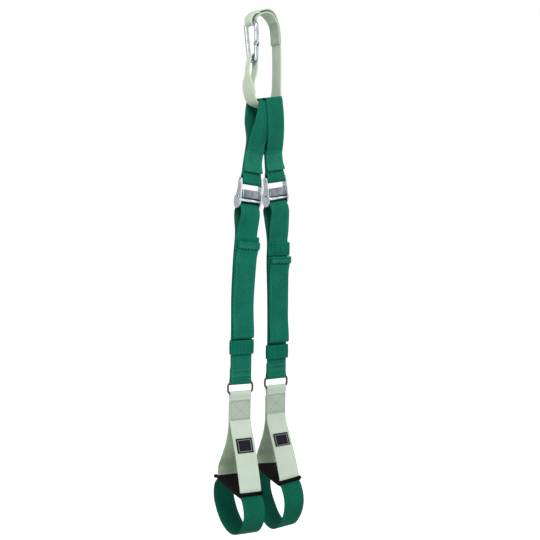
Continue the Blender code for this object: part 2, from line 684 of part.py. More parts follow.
    # metal ring
    ring_at = hang.rigid_place(bottom)
    x, z = WEB_W / 2 + GAP + RING_CORNER_R, RING_HEIGHT
    outline = rounded([(-x, 0), (x, 0), (x, -z), (-x, -z)], [RING_CORNER_R] * 4, closed=True, step=22)
    add(name + "_ring", tube(outline, RING_WIRE_R, lambda out, p: ring_at(p[0], (out, p[1])), 10, closed=True),
        DARK_METAL, 0.35, 1.0, smooth=50, origin=ring_at(0, (0, 0)))

    # hand grip: sewn below the ring, two legs down to the pad and a run under it
    grip = hang.rigid_place(bottom + RING_HEIGHT)
    pad_low = -PAD_DROP - PAD_T
    run_z = pad_low - GAP - WEB_T / 2
    leg_drop = PAD_DROP - 4 - GRIP_BOX_LOW
    spread = PAD_LENGTH / 2 - LEG_FROM_END
    front_leg = smooth([(-half, -GRIP_BOX_LOW)]
                       + [(-spread * out, -GRIP_BOX_LOW - leg_drop * down)
                          for out, down in ((0.168, 0.146), (0.376, 0.316), (0.624, 0.561), (0.891, 0.863), (1, 1))])
    back_leg = smooth([(spread * out, -GRIP_BOX_LOW - leg_drop * down)
                       for out, down in ((1, 1), (0.901, 0.863), (0.614, 0.608), (0.277, 0.354))]
                      + [(half + LAYER + 1.2, -GRIP_BOX_LOW - leg_drop * 0.137), (half + LAYER, -GRIP_BOX_LOW)])
    path = joined(
        [(half, -GRIP_BOX_LOW), (half, -GRIP_BOX_TOP - 4)],
        smooth([(half, -GRIP_BOX_TOP - 4), (half, -GRIP_BOX_TOP), (wire_wrap - 0.3, -2.5), (wire_wrap, 0)]),
        arc(0, 0, wire_wrap, 0, 180),
        smooth([(-wire_wrap, 0), (-wire_wrap + 0.3, -2.5), (-half, -GRIP_BOX_TOP), (-half, -GRIP_BOX_TOP - 4)]),
        [(-half, -GRIP_BOX_TOP - 4), (-half, -GRIP_BOX_LOW)],
        front_leg,
        rounded([(-spread, -PAD_DROP + 4), (-spread, run_z), (spread, run_z),
                 (spread, -PAD_DROP + 4)], [2.0, 2.0]),
        back_leg,
        [(half + LAYER, -GRIP_BOX_LOW), (half + LAYER, -GRIP_BOX_TOP - 3.0)])
    add(name + "_handle_webbing", strip(thinned(path, longest=12), WEB_W, WEB_T, grip), SAGE, 0.85,
        origin=grip(0, (0, 0)))

    # grip pad: a flat cushion with piped edges and a slot for each leg
    edge = PAD_W / 2 - PAD_EDGE_R
    high = PAD_T / 2
    section = (arc(-edge, 0, PAD_EDGE_R, 60, 300, 40) + [(-edge + 3, -high), (edge - 3, -high)]
               + arc(edge, 0, PAD_EDGE_R, 240, 480, 40) + [(edge - 3, high), (edge - 4.5, high + 0.5),
                                                           (-edge + 4.5, high + 0.5), (-edge + 3, high)])
    middle = -PAD_DROP - high
    pad = add(name + "_grip_pad",
              prism(section, -PAD_LENGTH / 2, PAD_LENGTH / 2, lambda y, p: grip(p[0], (y, p[1] + middle)), inset=0.8),
              BLACK, 0.6, smooth=40)
    for end in (-1, 1):
        slot = (end * spread - WEB_T / 2 - GAP, end * spread + WEB_T / 2 + GAP)
        boolean(pad, box((-WEB_W / 2 - GAP, WEB_W / 2 + GAP), slot, (middle - 6, middle + 6), grip),
                "DIFFERENCE", "slot")

    # foot loop, sewn to the run under the pad
    tab_z = run_z - LAYER
    reach, deep = FOOT_REACH, tab_z - FOOT_DROP + 7.0
    path = joined(
        [(-spread + 16, tab_z), (-spread + 4, tab_z)],
        smooth([(-spread + 4, tab_z), (-spread - 4, tab_z - 1.6), (-reach + 5, tab_z - 10),
                (-reach, tab_z - 25), (-reach + 6, tab_z - 44), (-reach + 20, tab_z - 60),
                (-28, deep + 4.5), (0, deep), (28, deep + 4.5), (reach - 15, tab_z - 56),
                (reach, tab_z - 36), (reach - 1, tab_z - 18), (reach - 10, tab_z - 5),
                (spread - 1, tab_z - 0.5), (spread - 6, tab_z)]),
        [(spread - 6, tab_z), (spread - 16, tab_z)])
    add(name + "_foot_loop", strip(thinned(path, longest=10), WEB_W, WEB_T, grip), GREEN, 0.85)

    # label patch on the front leg
    runs = lengths(front_leg)
    along = LABEL_FROM - GRIP_BOX_LOW + 4.0
    patch = [Vector(p) - n * (WEB_T / 2 + GAP + LABEL_T / 2)
             for p, n, s in zip(front_leg, normals(front_leg), runs) if along <= s <= along + LABEL_H]
    if patch[len(patch) // 2].x > front_leg[len(front_leg) // 2][0]:
        patch = [Vector(p) + n * (WEB_T / 2 + GAP + LABEL_T / 2)
                 for p, n, s in zip(front_leg, normals(front_leg), runs) if along <= s <= along + LABEL_H]
    patch = [tuple(p) for p in patch[::4]]
    add(name + "_label_patch", strip(patch, LABEL_W, LABEL_T, grip), BLACK, 0.7)
    return dict(bar=bar_at, pivot=pivot_at, across=hang.axes(LOOP_DROP)[0], ring=ring_at(0, (0, 0)),
                low_across=hang.axes(bottom)[0], grip=grip(0, (0, 0)))


joints = {name: build_side(name, **values) for name, values in SIDES.items()}
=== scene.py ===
import math
from functools import partial

import bmesh
import bpy
from mathutils import Matrix, Vector, noise


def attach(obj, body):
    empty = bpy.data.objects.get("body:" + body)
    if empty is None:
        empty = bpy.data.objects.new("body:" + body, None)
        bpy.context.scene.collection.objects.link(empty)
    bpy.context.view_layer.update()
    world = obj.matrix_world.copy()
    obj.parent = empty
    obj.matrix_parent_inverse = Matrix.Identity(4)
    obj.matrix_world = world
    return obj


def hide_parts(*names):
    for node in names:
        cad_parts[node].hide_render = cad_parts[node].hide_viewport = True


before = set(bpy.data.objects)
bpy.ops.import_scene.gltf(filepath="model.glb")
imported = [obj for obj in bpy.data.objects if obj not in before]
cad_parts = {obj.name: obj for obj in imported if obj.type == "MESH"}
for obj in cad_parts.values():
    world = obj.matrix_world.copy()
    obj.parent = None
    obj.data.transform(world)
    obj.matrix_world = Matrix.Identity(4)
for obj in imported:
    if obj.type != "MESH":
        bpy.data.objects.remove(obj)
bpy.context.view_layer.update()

# sizes in millimetres, as in the CAD model; finished pieces are in metres
MM = 0.001
GAP = 0.3
WEB_T, WEB_W, ANCHOR_W = 2.0, 38.0, 25.0
LAYER = WEB_T + GAP
HALF = LAYER / 2

# anchor strap and snap hook
TOP_YAW = 19.0
ARCH_RISE, LEG_X, RING_DROP, TAIL_DROP = 8.5, 27.4, 160.0, 46.0
TOP_ROD, LOW_ROD_X = (-34.0, -17.5), -28.5
HOOK_ROD_R, HOOK_HALF, HOOK_LOW_HALF, HOOK_LENGTH = 3.5, 13.5, 9.3, 70.0
GATE_LENGTH, HOOK_PIN_R = 20.5, 0.95

# upper loop
LOOP_DROP, BOX_TOP, BOX_LENGTH, LOOP_CORNER_R = 130.0, 79.0, 35.0, 3.0

# buckle
BAR_R, EAR_T, EAR_TOP_R, EAR_FOOT_R, EAR_LENGTH, SIDE_PLAY = 2.5, 2.5, 5.5, 9.8, 32.0, 1.0
BASE_T, BASE_Y, BASE_TOP, BASE_LOW = 1.6, 8.4, 17.0, 38.0
PIVOT, PIVOT_R, CAM_HUB_R, CAM_TOP, CAM_LOW, CAM_PLATE_T = (1.0, -26.0), 1.4, 3.3, 13.7, 27.1, 2.0
ROLLER, ROLLER_R, HEAD_R, HEAD_T, STEM_R = (-3.3, -31.0), 2.8, 2.5, 1.0, 1.5
EAR_INSIDE = WEB_W / 2 + SIDE_PLAY

# strap, keepers and ring
SEWN_RETURN, HEM_LENGTH = 24.0, 11.5
KEEPER_H, KEEPER_T, KEEPER_LOOSE, KEEPER_PLAY = 23.0, 1.2, 2.4, 0.4
RING_WIRE_R, RING_HEIGHT, RING_CORNER_R = 1.75, 19.0, 3.0
WIRE_WRAP = RING_WIRE_R + GAP + WEB_T / 2

# handle
GRIP_BOX_TOP, GRIP_BOX_LOW, PAD_DROP = 11.0, 45.5, 155.5
PAD_LENGTH, PAD_W, PAD_T, LEG_FROM_END = 111.0, 46.0, 3.2, 5.0
PAD_SHEET_T, PAD_FLARE, PIPING_R, PIPING_IN = 2.2, 0.06, 3.3, 1.4
FOOT_DROP, FOOT_REACH = 82.0, 68.0
LABEL_W, LABEL_H, LABEL_T, LABEL_FROM = 29.0, 25.6, 0.8, 73.5

# how the two sides hang in the photo
SIDES = {
    "left": dict(sign=-1, top=(-8.2, -151.8), leans=(10.4, 5.4, 4.8, 0.1), yaws=(13.0, -1.0),
                 strap_drop=340.0, fold_up=79.0, hem=100.0, keeper=90.5, below_fold=3.0),
    "right": dict(sign=1, top=(6.5, -145.4), leans=(10.5, 8.5, 0.1, 0.6), yaws=(13.0, 4.0),
                  strap_drop=348.0, fold_up=65.5, hem=133.0, keeper=108.0, below_fold=5.0),
}
LOW_TURN = 300.0
STRAP_BOW, LABEL_LOWER = {"left": 3.0, "right": 7.0}, {"left": 4.0, "right": 9.0}
PAD_SAG, FOOT_LONGER = {"left": 6.0, "right": 6.5}, {"left": 0.0, "right": 16.0}
HANDLE_SHIFTS = {"left": ((0, 1.5), (-0.5, 1.0), (0.5, 1.5), (0.5, 1.0)),
                 "right": ((-1.5, 4.5), (-1.0, 8.0), (10.0, 5.5), (12.0, 1.0))}
LEG_SPREAD = {"left": (0.168, 0.376, 0.624, 0.891, 1), "right": (0.07, 0.25, 0.51, 0.85, 1)}

turn = math.radians(TOP_YAW)
U = Vector((math.cos(turn), math.sin(turn), 0))
V = Vector((math.sin(turn), -math.cos(turn), 0))
UP = Vector((0, 0, 1))


def come(value, start, span):
    """How far a value has come through a span, from 0 to 1."""
    return min(1.0, max(0.0, (value - start) / span))


def eased(t):
    return t * t * (3 - 2 * t)


# steps and links shared by all finishes
def feed(tree, sockets, values):
    """Gives each socket, by its label or number, a link or a plain value."""
    for label, value in values.items():
        if isinstance(value, (tuple, float, int)):
            sockets[label].default_value = value
        else:
            tree.links.new(value, sockets[label])


def put(tree, kind, values=None, **settings):
    made = tree.nodes.new(kind)
    for name, value in settings.items():
        setattr(made, name, value)
    feed(tree, made.inputs, values or {})
    return made


def reckon(tree, operation, *values, clamp=False):
    """A maths step between links or plain numbers."""
    return put(tree, "ShaderNodeMath", dict(enumerate(values)), operation=operation,
               use_clamp=clamp).outputs[0]


def blend_colour(tree, share, first, second):
    made = put(tree, "ShaderNodeMix", data_type="RGBA")
    feed(tree, made.inputs, {0: share, 6: first, 7: second})
    return made.outputs[2]


def own_map(tree):
    """Across and along the webbing, in metres."""
    parts = put(tree, "ShaderNodeSeparateXYZ", {0: put(tree, "ShaderNodeTexCoord").outputs["UV"]})
    return parts.outputs["X"], parts.outputs["Y"]


def new_surface(name):
    mat = bpy.data.materials.new(name)
    mat.use_nodes = True
    return mat, mat.node_tree, mat.node_tree.nodes["Principled BSDF"].inputs


# camera, light and floor
CAMERA_AZIMUTH, CAMERA_AWAY, CAMERA_SIDE, CAMERA_HEIGHT = -26.0, 1.40, 0.0145, -0.3285
CAMERA_PITCH, CAMERA_ROLL, CAMERA_LENS = 4.05, 1.0, 54.8
FLOOR_Z, FLOOR_SIZE = -0.965, 14.0


def stand_camera():
    azimuth = math.radians(CAMERA_AZIMUTH)
    right = Vector((math.cos(azimuth), math.sin(azimuth), 0))
    away = Vector((-math.sin(azimuth), math.cos(azimuth), 0))
    bpy.ops.object.camera_add()
    camera = bpy.context.object
    camera.name = "camera"
    camera.data.sensor_width, camera.data.lens = 36.0, CAMERA_LENS
    camera.data.clip_start, camera.data.clip_end = 0.05, 20.0
    camera.matrix_world = (Matrix.Translation(right * CAMERA_SIDE - away * CAMERA_AWAY + UP * CAMERA_HEIGHT)
                           @ Matrix.Rotation(azimuth, 4, "Z")
                           @ Matrix.Rotation(math.radians(90 - CAMERA_PITCH), 4, "X")
                           @ Matrix.Rotation(math.radians(CAMERA_ROLL), 4, "Z"))
    bpy.context.scene.camera = camera


def soft_light(name, place, aim, width, height, power):
    bpy.ops.object.light_add(type="AREA", location=place)
    lamp = bpy.context.object
    lamp.name = name
    lamp.data.shape = "RECTANGLE"
    lamp.data.size, lamp.data.size_y, lamp.data.energy = width, height, power
    lamp.rotation_euler = (Vector(aim) - Vector(place)).to_track_quat("-Z", "Y").to_euler()


def seen_directly(tree):
    """1 for what the camera, metal and glass see, 0 for the light that falls on things."""
    ray = put(tree, "ShaderNodeLightPath").outputs
    return reckon(tree, "MAXIMUM", ray["Is Camera Ray"],
                  reckon(tree, "MAXIMUM", ray["Is Glossy Ray"], ray["Is Transmission Ray"]))


def pale_floor():
    """A pale matt surface that is seen as plain white, where its shadow lets it."""
    mat, tree, shader = new_surface("pale_floor")
    feed(tree, shader, {"Base Color": (0.75, 0.75, 0.75, 1), "Roughness": 0.9, "Specular IOR Level": 0.1,
                        "Emission Color": (1, 1, 1, 1),
                        "Emission Strength": reckon(tree, "MULTIPLY", seen_directly(tree), 0.8)})
    return mat


def studio():
    bpy.ops.mesh.primitive_plane_add(size=FLOOR_SIZE, location=(0, 0, FLOOR_Z))
    floor = bpy.context.object
    floor.name = "floor"
    floor.data.materials.append(pale_floor())

    world = bpy.data.worlds.new("studio")
    bpy.context.scene.world = world
    world.use_nodes = True
    tree = world.node_tree
    soft = tree.nodes["Background"]
    feed(tree, soft.inputs, {"Color": (0.86, 0.93, 1.0, 1), "Strength": 0.30})
    white = put(tree, "ShaderNodeBackground", {"Color": (1, 1, 1, 1), "Strength": 1.0})
    mixed = put(tree, "ShaderNodeMixShader", {0: seen_directly(tree), 1: soft.outputs[0],
                                              2: white.outputs[0]})
    feed(tree, tree.nodes["World Output"].inputs, {"Surface": mixed.outputs[0]})

    soft_light("key_light", (-0.3, -1.9, 1.2), (0, 0, -0.4), 0.9, 0.9, 38.5)
    soft_light("fill_light", (-1.9, -0.9, -0.2), (0, 0, -0.45), 1.0, 1.6, 13.0)
    soft_light("side_light", (1.8, -0.9, 0.2), (0, 0, -0.4), 0.8, 1.4, 7.0)


# finishes; their lengths are in metres
RIB_PITCH, EDGE_LINE, EDGE_LINE_W = 0.0016, 0.0154, 0.0008
NO_LINE = 0.05
PATCH_LINE_IN, PATCH_LINE_W = 0.0032, 0.0004
# painted reflection: the dark colour blended onto metal towards its outline, in place of dark surroundings
# it would mirror
PAINTED_RIM_SHADE, PAINTED_RIM_CURVE = (0.035, 0.045, 0.06, 1), 0.85


def new_group(name, inputs):
    """A shared effect: inputs with their first values, and a colour, a roughness and a height out."""
    group = bpy.data.node_groups.new(name, "ShaderNodeTree")
    for label, value in inputs.items():
        kind = "NodeSocketColor" if isinstance(value, tuple) else "NodeSocketFloat"
        group.interface.new_socket(label, in_out="INPUT", socket_type=kind).default_value = value
    for label, kind in (("Color", "NodeSocketColor"), ("Roughness", "NodeSocketFloat"),
                        ("Height", "NodeSocketFloat")):
        group.interface.new_socket(label, in_out="OUTPUT", socket_type=kind)
    return group, put(group, "NodeGroupInput").outputs, put(group, "NodeGroupOutput").inputs


def clouds(group, scale, detail):
    """Soft noise fixed to the piece."""
    where = put(group, "ShaderNodeTexCoord").outputs["Object"]
    return put(group, "ShaderNodeTexNoise", {"Vector": where, "Scale": scale,
                                             "Detail": detail}).outputs[0]


def weave_group():
    """Webbing read from its own map: slanting rows, fine ribs and a lighter line inside each edge."""
    group, given, result = new_group("webbing_weave", {
        "Thread": (0.5, 0.5, 0.5, 1), "Shade": (0.2, 0.2, 0.2, 1), "Line": (0.7, 0.7, 0.7, 1),
        "Line Place": EDGE_LINE, "Pitch": 0.0036, "Slant": 0.6, "Roughness": 0.8})
    does = partial(reckon, group)
    across, along = own_map(group)
    slant = does("MULTIPLY", across, given["Slant"])
    turns = does("DIVIDE", does("ADD", along, slant), given["Pitch"])
    rows = does("SINE", does("MULTIPLY", turns, 2 * math.pi))
    ribs = does("SINE", does("MULTIPLY", across, 2 * math.pi / RIB_PITCH))
    height = does("MULTIPLY_ADD", rows, 0.46, does("MULTIPLY_ADD", ribs, 0.14, 0.5))
    from_edge = does("SUBTRACT", does("ABSOLUTE", across), given["Line Place"])
    off_line = does("DIVIDE", does("ABSOLUTE", from_edge), EDGE_LINE_W)
    line = does("SUBTRACT", 1.0, off_line, clamp=True)
    worn = does("MULTIPLY_ADD", clouds(group, 45.0, 4.0), 0.7, -0.35)
    share = does("ADD", height, worn, clamp=True)
    plain = blend_colour(group, share, given["Shade"], given["Thread"])
    edged = blend_colour(group, does("MULTIPLY", line, 0.5), plain, given["Line"])
    feed(group, result, {
        "Color": edged, "Height": does("MULTIPLY_ADD", line, 0.3, height),
        "Roughness": does("MULTIPLY_ADD", worn, 0.3, given["Roughness"], clamp=True)})
    return group


def wear_group():
    """Metal or plastic that is slightly cloudy, with fine scratches."""
    group, given, result = new_group("handled_metal", {
        "Colour": (0.8, 0.8, 0.8, 1), "Dulled": (0.6, 0.6, 0.6, 1), "Roughness": 0.25, "Grain": 300.0})
    does = partial(reckon, group)
    fine = clouds(group, given["Grain"], 5.0)
    share = does("MULTIPLY_ADD", clouds(group, 110.0, 3.0), 2.2, -0.6, clamp=True)
    least = does("SUBTRACT", given["Roughness"], 0.08)
    feed(group, result, {
        "Color": blend_colour(group, share, given["Colour"], given["Dulled"]), "Height": fine,
        "Roughness": does("MULTIPLY_ADD", fine, 0.16, least, clamp=True)})
    return group


WEAVE, WEAR = weave_group(), wear_group()
FINISHES = {}


def finish(name, group, values, bump, depth, metallic=0.0, shine=0.15, rim=0.0):
    """A surface from a group; `rim` is how much painted shade darkens metal where it curves away from the
    eye, standing in for the dark reflections it would show.
    """
    mat, tree, shader = new_surface(name)
    surface = put(tree, "ShaderNodeGroup", node_tree=group)
    feed(tree, surface.inputs, {label: (*value, 1) if isinstance(value, tuple) else value
                                for label, value in values.items()})
    colour = surface.outputs["Color"]
    # painted dark reflection towards the outline, stronger where the surface turns away from the eye
    if rim:
        turned_away = put(tree, "ShaderNodeLayerWeight", {"Blend": 0.5})
        away = reckon(tree, "POWER", turned_away.outputs["Facing"], PAINTED_RIM_CURVE)
        colour = blend_colour(tree, reckon(tree, "MULTIPLY", away, rim, clamp=True), colour, PAINTED_RIM_SHADE)
    relief = put(tree, "ShaderNodeBump", {"Strength": bump, "Distance": depth,
                                          "Height": surface.outputs["Height"]})
    feed(tree, shader, {"Base Color": colour, "Roughness": surface.outputs["Roughness"],
                        "Normal": relief.outputs["Normal"], "Metallic": metallic})
    if not metallic:
        shader["Specular IOR Level"].default_value = shine
    FINISHES[name] = mat
    return mat


def woven(name, thread, shade, line, line_place=EDGE_LINE, pitch=0.0036, slant=0.6, roughness=0.88,
          bump=0.5, depth=0.0004, shine=0.15):
    """Webbing, from the colours of its thread, of its hollows and of the line inside each edge."""
    return finish(name, WEAVE, {
        "Thread": thread, "Shade": shade, "Line": line, "Line Place": line_place, "Pitch": pitch,
        "Slant": slant, "Roughness": roughness}, bump, depth, shine=shine)


def handled(name, colour, dulled, roughness, bump=0.2, depth=0.0002, grain=300.0, **kind):
    """Metal, thread or foam, from its colour and the colour where it is dull."""
    return finish(name, WEAR, {"Colour": colour, "Dulled": dulled, "Roughness": roughness,
                               "Grain": grain}, bump, depth, **kind)


def patch_finish():
    """The black woven patch: bare but for a thin grey line woven round it."""
    mat = woven("label_black", (0.010, 0.0095, 0.011), (0.005, 0.005, 0.006), (0.010, 0.0095, 0.011),
                NO_LINE, 0.0012, 0.0, 0.75, 0.4, 0.0002)
    tree = mat.node_tree
    does = partial(reckon, tree)
    half_w, half_h = LABEL_W / 2 * MM, LABEL_H / 2 * MM
    across, along = own_map(tree)
    from_middle = does("ABSOLUTE", does("SUBTRACT", along, half_h))
    upright = does("SUBTRACT", from_middle, half_h - PATCH_LINE_IN)
    sideways = does("SUBTRACT", does("ABSOLUTE", across), half_w - PATCH_LINE_IN)
    away = does("ABSOLUTE", does("MAXIMUM", sideways, upright))
    line = does("SUBTRACT", 1.5, does("DIVIDE", away, PATCH_LINE_W), clamp=True)
    base = tree.nodes["Principled BSDF"].inputs["Base Color"]
    tree.links.new(blend_colour(tree, line, base.links[0].from_socket, (0.33, 0.30, 0.36, 1)), base)
    return mat


GREEN = dict(slant=-0.6, roughness=0.8, depth=0.0005, shine=0.08)
woven("green_webbing", (0.0095, 0.22, 0.135), (0.003, 0.066, 0.038), (0.020, 0.27, 0.17), bump=0.6, **GREEN)
woven("sewn_green", (0.018, 0.265, 0.165), (0.007, 0.090, 0.053), (0.026, 0.29, 0.185), bump=0.6, **GREEN)
# the foot loops' webbing is green_webbing made darker: painted shade for the lowest loops
woven("foot_webbing", (0.0062, 0.168, 0.100), (0.002, 0.056, 0.032), (0.014, 0.21, 0.13), **GREEN)
woven("sage_webbing", (0.64, 0.74, 0.61), (0.51, 0.59, 0.48), (0.61, 0.70, 0.58), pitch=0.0030, slant=0.35)
woven("shaded_sage", (0.55, 0.70, 0.49), (0.38, 0.50, 0.33), (0.54, 0.69, 0.48))
woven("anchor_webbing", (0.68, 0.79, 0.62), (0.57, 0.67, 0.51), (0.66, 0.76, 0.60), 0.0095, 0.0026, 0.4)
woven("sewn_sage", (0.55, 0.65, 0.52), (0.42, 0.50, 0.39), (0.55, 0.65, 0.52), NO_LINE)
woven("sewn_grip", (0.53, 0.62, 0.50), (0.37, 0.44, 0.35), (0.52, 0.61, 0.49), NO_LINE)
woven("elastic", (0.0055, 0.20, 0.125), (0.001, 0.06, 0.034), (0.012, 0.24, 0.15), 0.0105, 0.0024, 0.0,
      0.82, 0.6, shine=0.08)
patch_finish()

handled("green_thread", (0.065, 0.36, 0.25), (0.045, 0.29, 0.19), 0.6, depth=0.0001)
handled("sage_thread", (0.30, 0.35, 0.29), (0.22, 0.27, 0.21), 0.75, depth=0.0001)
# rim: painted dark reflection at each metal's outline
handled("bright_zinc", (0.78, 0.81, 0.85), (0.58, 0.62, 0.66), 0.20, 0.15, metallic=1.0, rim=0.95)
# the hook's zinc is bright_zinc made darker: painted shade for the hook's dimmer reflections
handled("hook_zinc_painted_shade", (0.60, 0.64, 0.69), (0.36, 0.40, 0.45), 0.22, 0.15, metallic=1.0, rim=1.0)
handled("pressed_zinc", (0.56, 0.60, 0.61), (0.36, 0.41, 0.42), 0.34, 0.25, 0.0003, metallic=1.0, rim=0.45)
# near-black for the cam rivet's hole: painted shade
handled("rivet_hole_painted_shade", (0.018, 0.022, 0.026), (0.010, 0.011, 0.014), 0.6)
handled("cam_grey", (0.22, 0.25, 0.28), (0.10, 0.115, 0.14), 0.42, 0.45, 0.0004, 700.0, metallic=0.9)
handled("ring_metal", (0.10, 0.068, 0.058), (0.030, 0.021, 0.018), 0.24, 0.15, metallic=0.95, rim=0.85)
handled("grip_black", (0.0045, 0.004, 0.0045), (0.007, 0.006, 0.007), 0.7, 0.5, 0.0005, 900.0, shine=0.04)
handled("piping_black", (0.0035, 0.003, 0.0035), (0.006, 0.005, 0.006), 0.7, grain=500.0, shine=0.04)


# lines that the webbing follows, as (depth, height) points in a plane
def polar(cy, cz, radius, degrees):
    a = math.radians(degrees)
    return cy + radius * math.cos(a), cz + radius * math.sin(a)


def arc(cy, cz, radius, start, end, step=8.0):
    count = max(2, math.ceil(abs(end - start) / step))
    return tuple(polar(cy, cz, radius, start + (end - start) * i / count) for i in range(count + 1))


def rounded(points, radii, step=8.0):
    """A line of straight runs whose corners are arcs of the given radii."""
    out = [points[0]]
    for i, radius in enumerate(radii, 1):
        p, q, r = (Vector(points[i + k]) for k in (-1, 0, 1))
        a, b = (p - q).normalized(), (r - q).normalized()
        bend = math.pi - a.angle(b)
        reach = radius * math.tan(bend / 2)
        centre = q + (a + b).normalized() * (radius / math.cos(bend / 2))
        steps = max(1, math.ceil(math.degrees(bend) / step))
        one, two = q + a * reach - centre, q + b * reach - centre
        side = 1 if one.x * two.y - one.y * two.x > 0 else -1
        for k in range(steps + 1):
            c, s = math.cos(side * bend * k / steps), math.sin(side * bend * k / steps)
            out.append((centre.x + one.x * c - one.y * s, centre.y + one.x * s + one.y * c))
    return (*out, points[-1])


def smooth(points, spacing=1.0):
    """Close points along a smooth curve through the given ones."""
    pts = [Vector(p) for p in points]
    chord = [(b - a).length for a, b in zip(pts, pts[1:])]
    slopes = [(b - a) / d for a, b, d in zip(pts, pts[1:], chord)]
    tangents = [slopes[0]]
    for i in range(1, len(slopes)):
        d0, d1 = chord[i - 1], chord[i]
        tangents.append((slopes[i] * d0 + slopes[i - 1] * d1) / (d0 + d1))
    tangents.append(slopes[-1])
    out = [tuple(pts[0])]
    for i, d in enumerate(chord):
        steps = max(1, round(d / spacing))
        for k in range(1, steps + 1):
            t = k / steps
            a, b = 2 * t**3 - 3 * t**2 + 1, t**3 - 2 * t**2 + t
            out.append(tuple(pts[i] * a + tangents[i] * (b * d) + pts[i + 1] * (1 - a)
                             + tangents[i + 1] * ((t**3 - t**2) * d)))
    return tuple(out)


def thinned(points, angle=5.0, longest=3.2):
    """The same line with a point only where it has turned by `angle` or run `longest`."""
    kept, turned_by, run = [points[0]], 0.0, 0.0
    for a, b, c in zip(points, points[1:], points[2:]):
        first, second = Vector(b) - Vector(a), Vector(c) - Vector(b)
        run += first.length
        bend = math.degrees(first.angle(second, 0.0))
        if turned_by + bend / 2 >= angle or run + second.length > longest or bend > angle:
            kept.append(b)
            turned_by, run = bend / 2, 0.0
        else:
            turned_by += bend
    return kept + [points[-1]]


def route(*runs):
    """One line: a list is drawn as a smooth curve on from the last point, a tuple is taken as it is."""
    out = []
    for run in runs:
        for point in smooth(out[-1:] + run) if isinstance(run, list) else run:
            if not out or (Vector(point) - Vector(out[-1])).length > 0.05:
                out.append(tuple(point))
    return out


def lengths(path):
    out = [0.0]
    for a, b in zip(path, path[1:]):
        out.append(out[-1] + (Vector(b) - Vector(a)).length)
    return out


def normals(path):
    runs = [(Vector(b) - Vector(a)).normalized() for a, b in zip(path, path[1:])]
    alongs = [(a + b).normalized() for a, b in zip(runs[:1] + runs, runs + runs[-1:])]
    return [Vector((-along.y, along.x)) for along in alongs]


# ways of making a piece
def begin(name):
    """The shape just added, under its own name and with its place in its mesh."""
    piece = bpy.context.object
    piece.name = piece.data.name = name
    bpy.ops.object.transform_apply(location=True, rotation=True, scale=True)
    return piece


def pick(piece):
    bpy.ops.object.select_all(action="DESELECT")
    piece.select_set(True)
    bpy.context.view_layer.objects.active = piece


def edit(piece):
    """Edit mode with every face selected."""
    pick(piece)
    bpy.ops.object.mode_set(mode="EDIT")
    bpy.ops.mesh.select_mode(type="FACE")
    bpy.ops.mesh.select_all(action="SELECT")


def close_up():
    """Out of edit mode, with every face looking outward."""
    bpy.ops.mesh.select_all(action="SELECT")
    bpy.ops.mesh.normals_make_consistent(inside=False)
    bpy.ops.object.mode_set(mode="OBJECT")


def work(piece, kind, **settings):
    """Adds a modifier with these settings and applies it."""
    pick(piece)
    step = piece.modifiers.new(kind.lower(), kind)
    for name, value in settings.items():
        setattr(step, name, value)
    bpy.ops.object.modifier_apply(modifier=step.name)


def soften(piece, width, segments=2, angle=50.0):
    work(piece, "BEVEL", width=width, segments=segments, limit_method="ANGLE",
         angle_limit=math.radians(angle), miter_outer="MITER_ARC", use_clamp_overlap=True)


def shade(piece, angle):
    pick(piece)
    bpy.ops.object.shade_smooth_by_angle(angle=math.radians(angle))


def cut(piece, tool, operation="DIFFERENCE"):
    work(piece, "BOOLEAN", object=tool, operation=operation, solver="EXACT")
    bpy.data.objects.remove(tool)


def dress(piece, look, body, slot, *nodes, zones=()):
    """Finish and body of a piece, whose `slot` is not used; `zones` are stretches of webbing, in
    millimetres, that differ.
    """
    piece.data.materials.clear()
    piece.data.materials.append(FINISHES[look])
    for number, (other, start, end) in enumerate(zones, 1):
        piece.data.materials.append(FINISHES[other])
        cloth = piece.data.uv_layers.active.data
        for face in piece.data.polygons:
            along = sum(cloth[i].uv[1] for i in face.loop_indices) / face.loop_total / MM
            if start <= along <= end:
                face.material_index = number
    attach(piece, body)
    if nodes:
        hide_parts(*nodes)


def settle(piece, place, angle, *looks):
    """Moves a piece made in millimetres round its own origin to where it belongs, and dresses it."""
    for vert in piece.data.vertices:
        vert.co = place(vert.co.x, (vert.co.y, vert.co.z)) * MM
    piece.data.update()
    shade(piece, angle)
    dress(piece, *looks)


def sew(band, laid, thickness, edge, segments, even, *looks, zones=()):
    """Makes cloth of a sheet: laid(point) gives each point's place and its spot on the cloth's map."""
    mesh = bmesh.new()
    mesh.from_mesh(band.data)
    cloth = mesh.loops.layers.uv.verify()
    spots = {}
    for vert in mesh.verts:
        where, spot = laid(vert.co)
        vert.co, spots[vert] = where * MM, [length * MM for length in spot]
    for face in mesh.faces:
        for corner in face.loops:
            corner[cloth].uv = spots[corner.vert]
    mesh.to_mesh(band.data)
    mesh.free()
    work(band, "SOLIDIFY", thickness=thickness * MM, offset=0.0, use_even_offset=even)
    work(band, "BEVEL", width=edge * MM, segments=segments, limit_method="ANGLE",
         angle_limit=math.radians(50))
    shade(band, 50)
    dress(band, *looks, zones=zones)


def webbing(name, path, place, *looks, width=WEB_W, thickness=WEB_T, columns=12, width_at=None,
            cup=None, slip=None, edge=0.55, zones=()):
    """A band of webbing laid along a line; its map runs across it and along it."""
    path = thinned(path)
    last, run = len(path) - 1, lengths(path)
    bpy.ops.mesh.primitive_grid_add(x_subdivisions=columns, y_subdivisions=last, size=1.0)

    def laid(point):
        row = round((point.y + 0.5) * last)
        x = point.x * (width_at(path[row]) if width_at else width)
        rise = cup(path[row], x) if cup else 0.0
        drift = slip(run[row]) if slip else 0.0
        return place(x + drift, (path[row][0], path[row][1] + rise)), (x, run[row])

    sew(begin(name), laid, thickness, edge, 3, True, *looks, zones=zones)


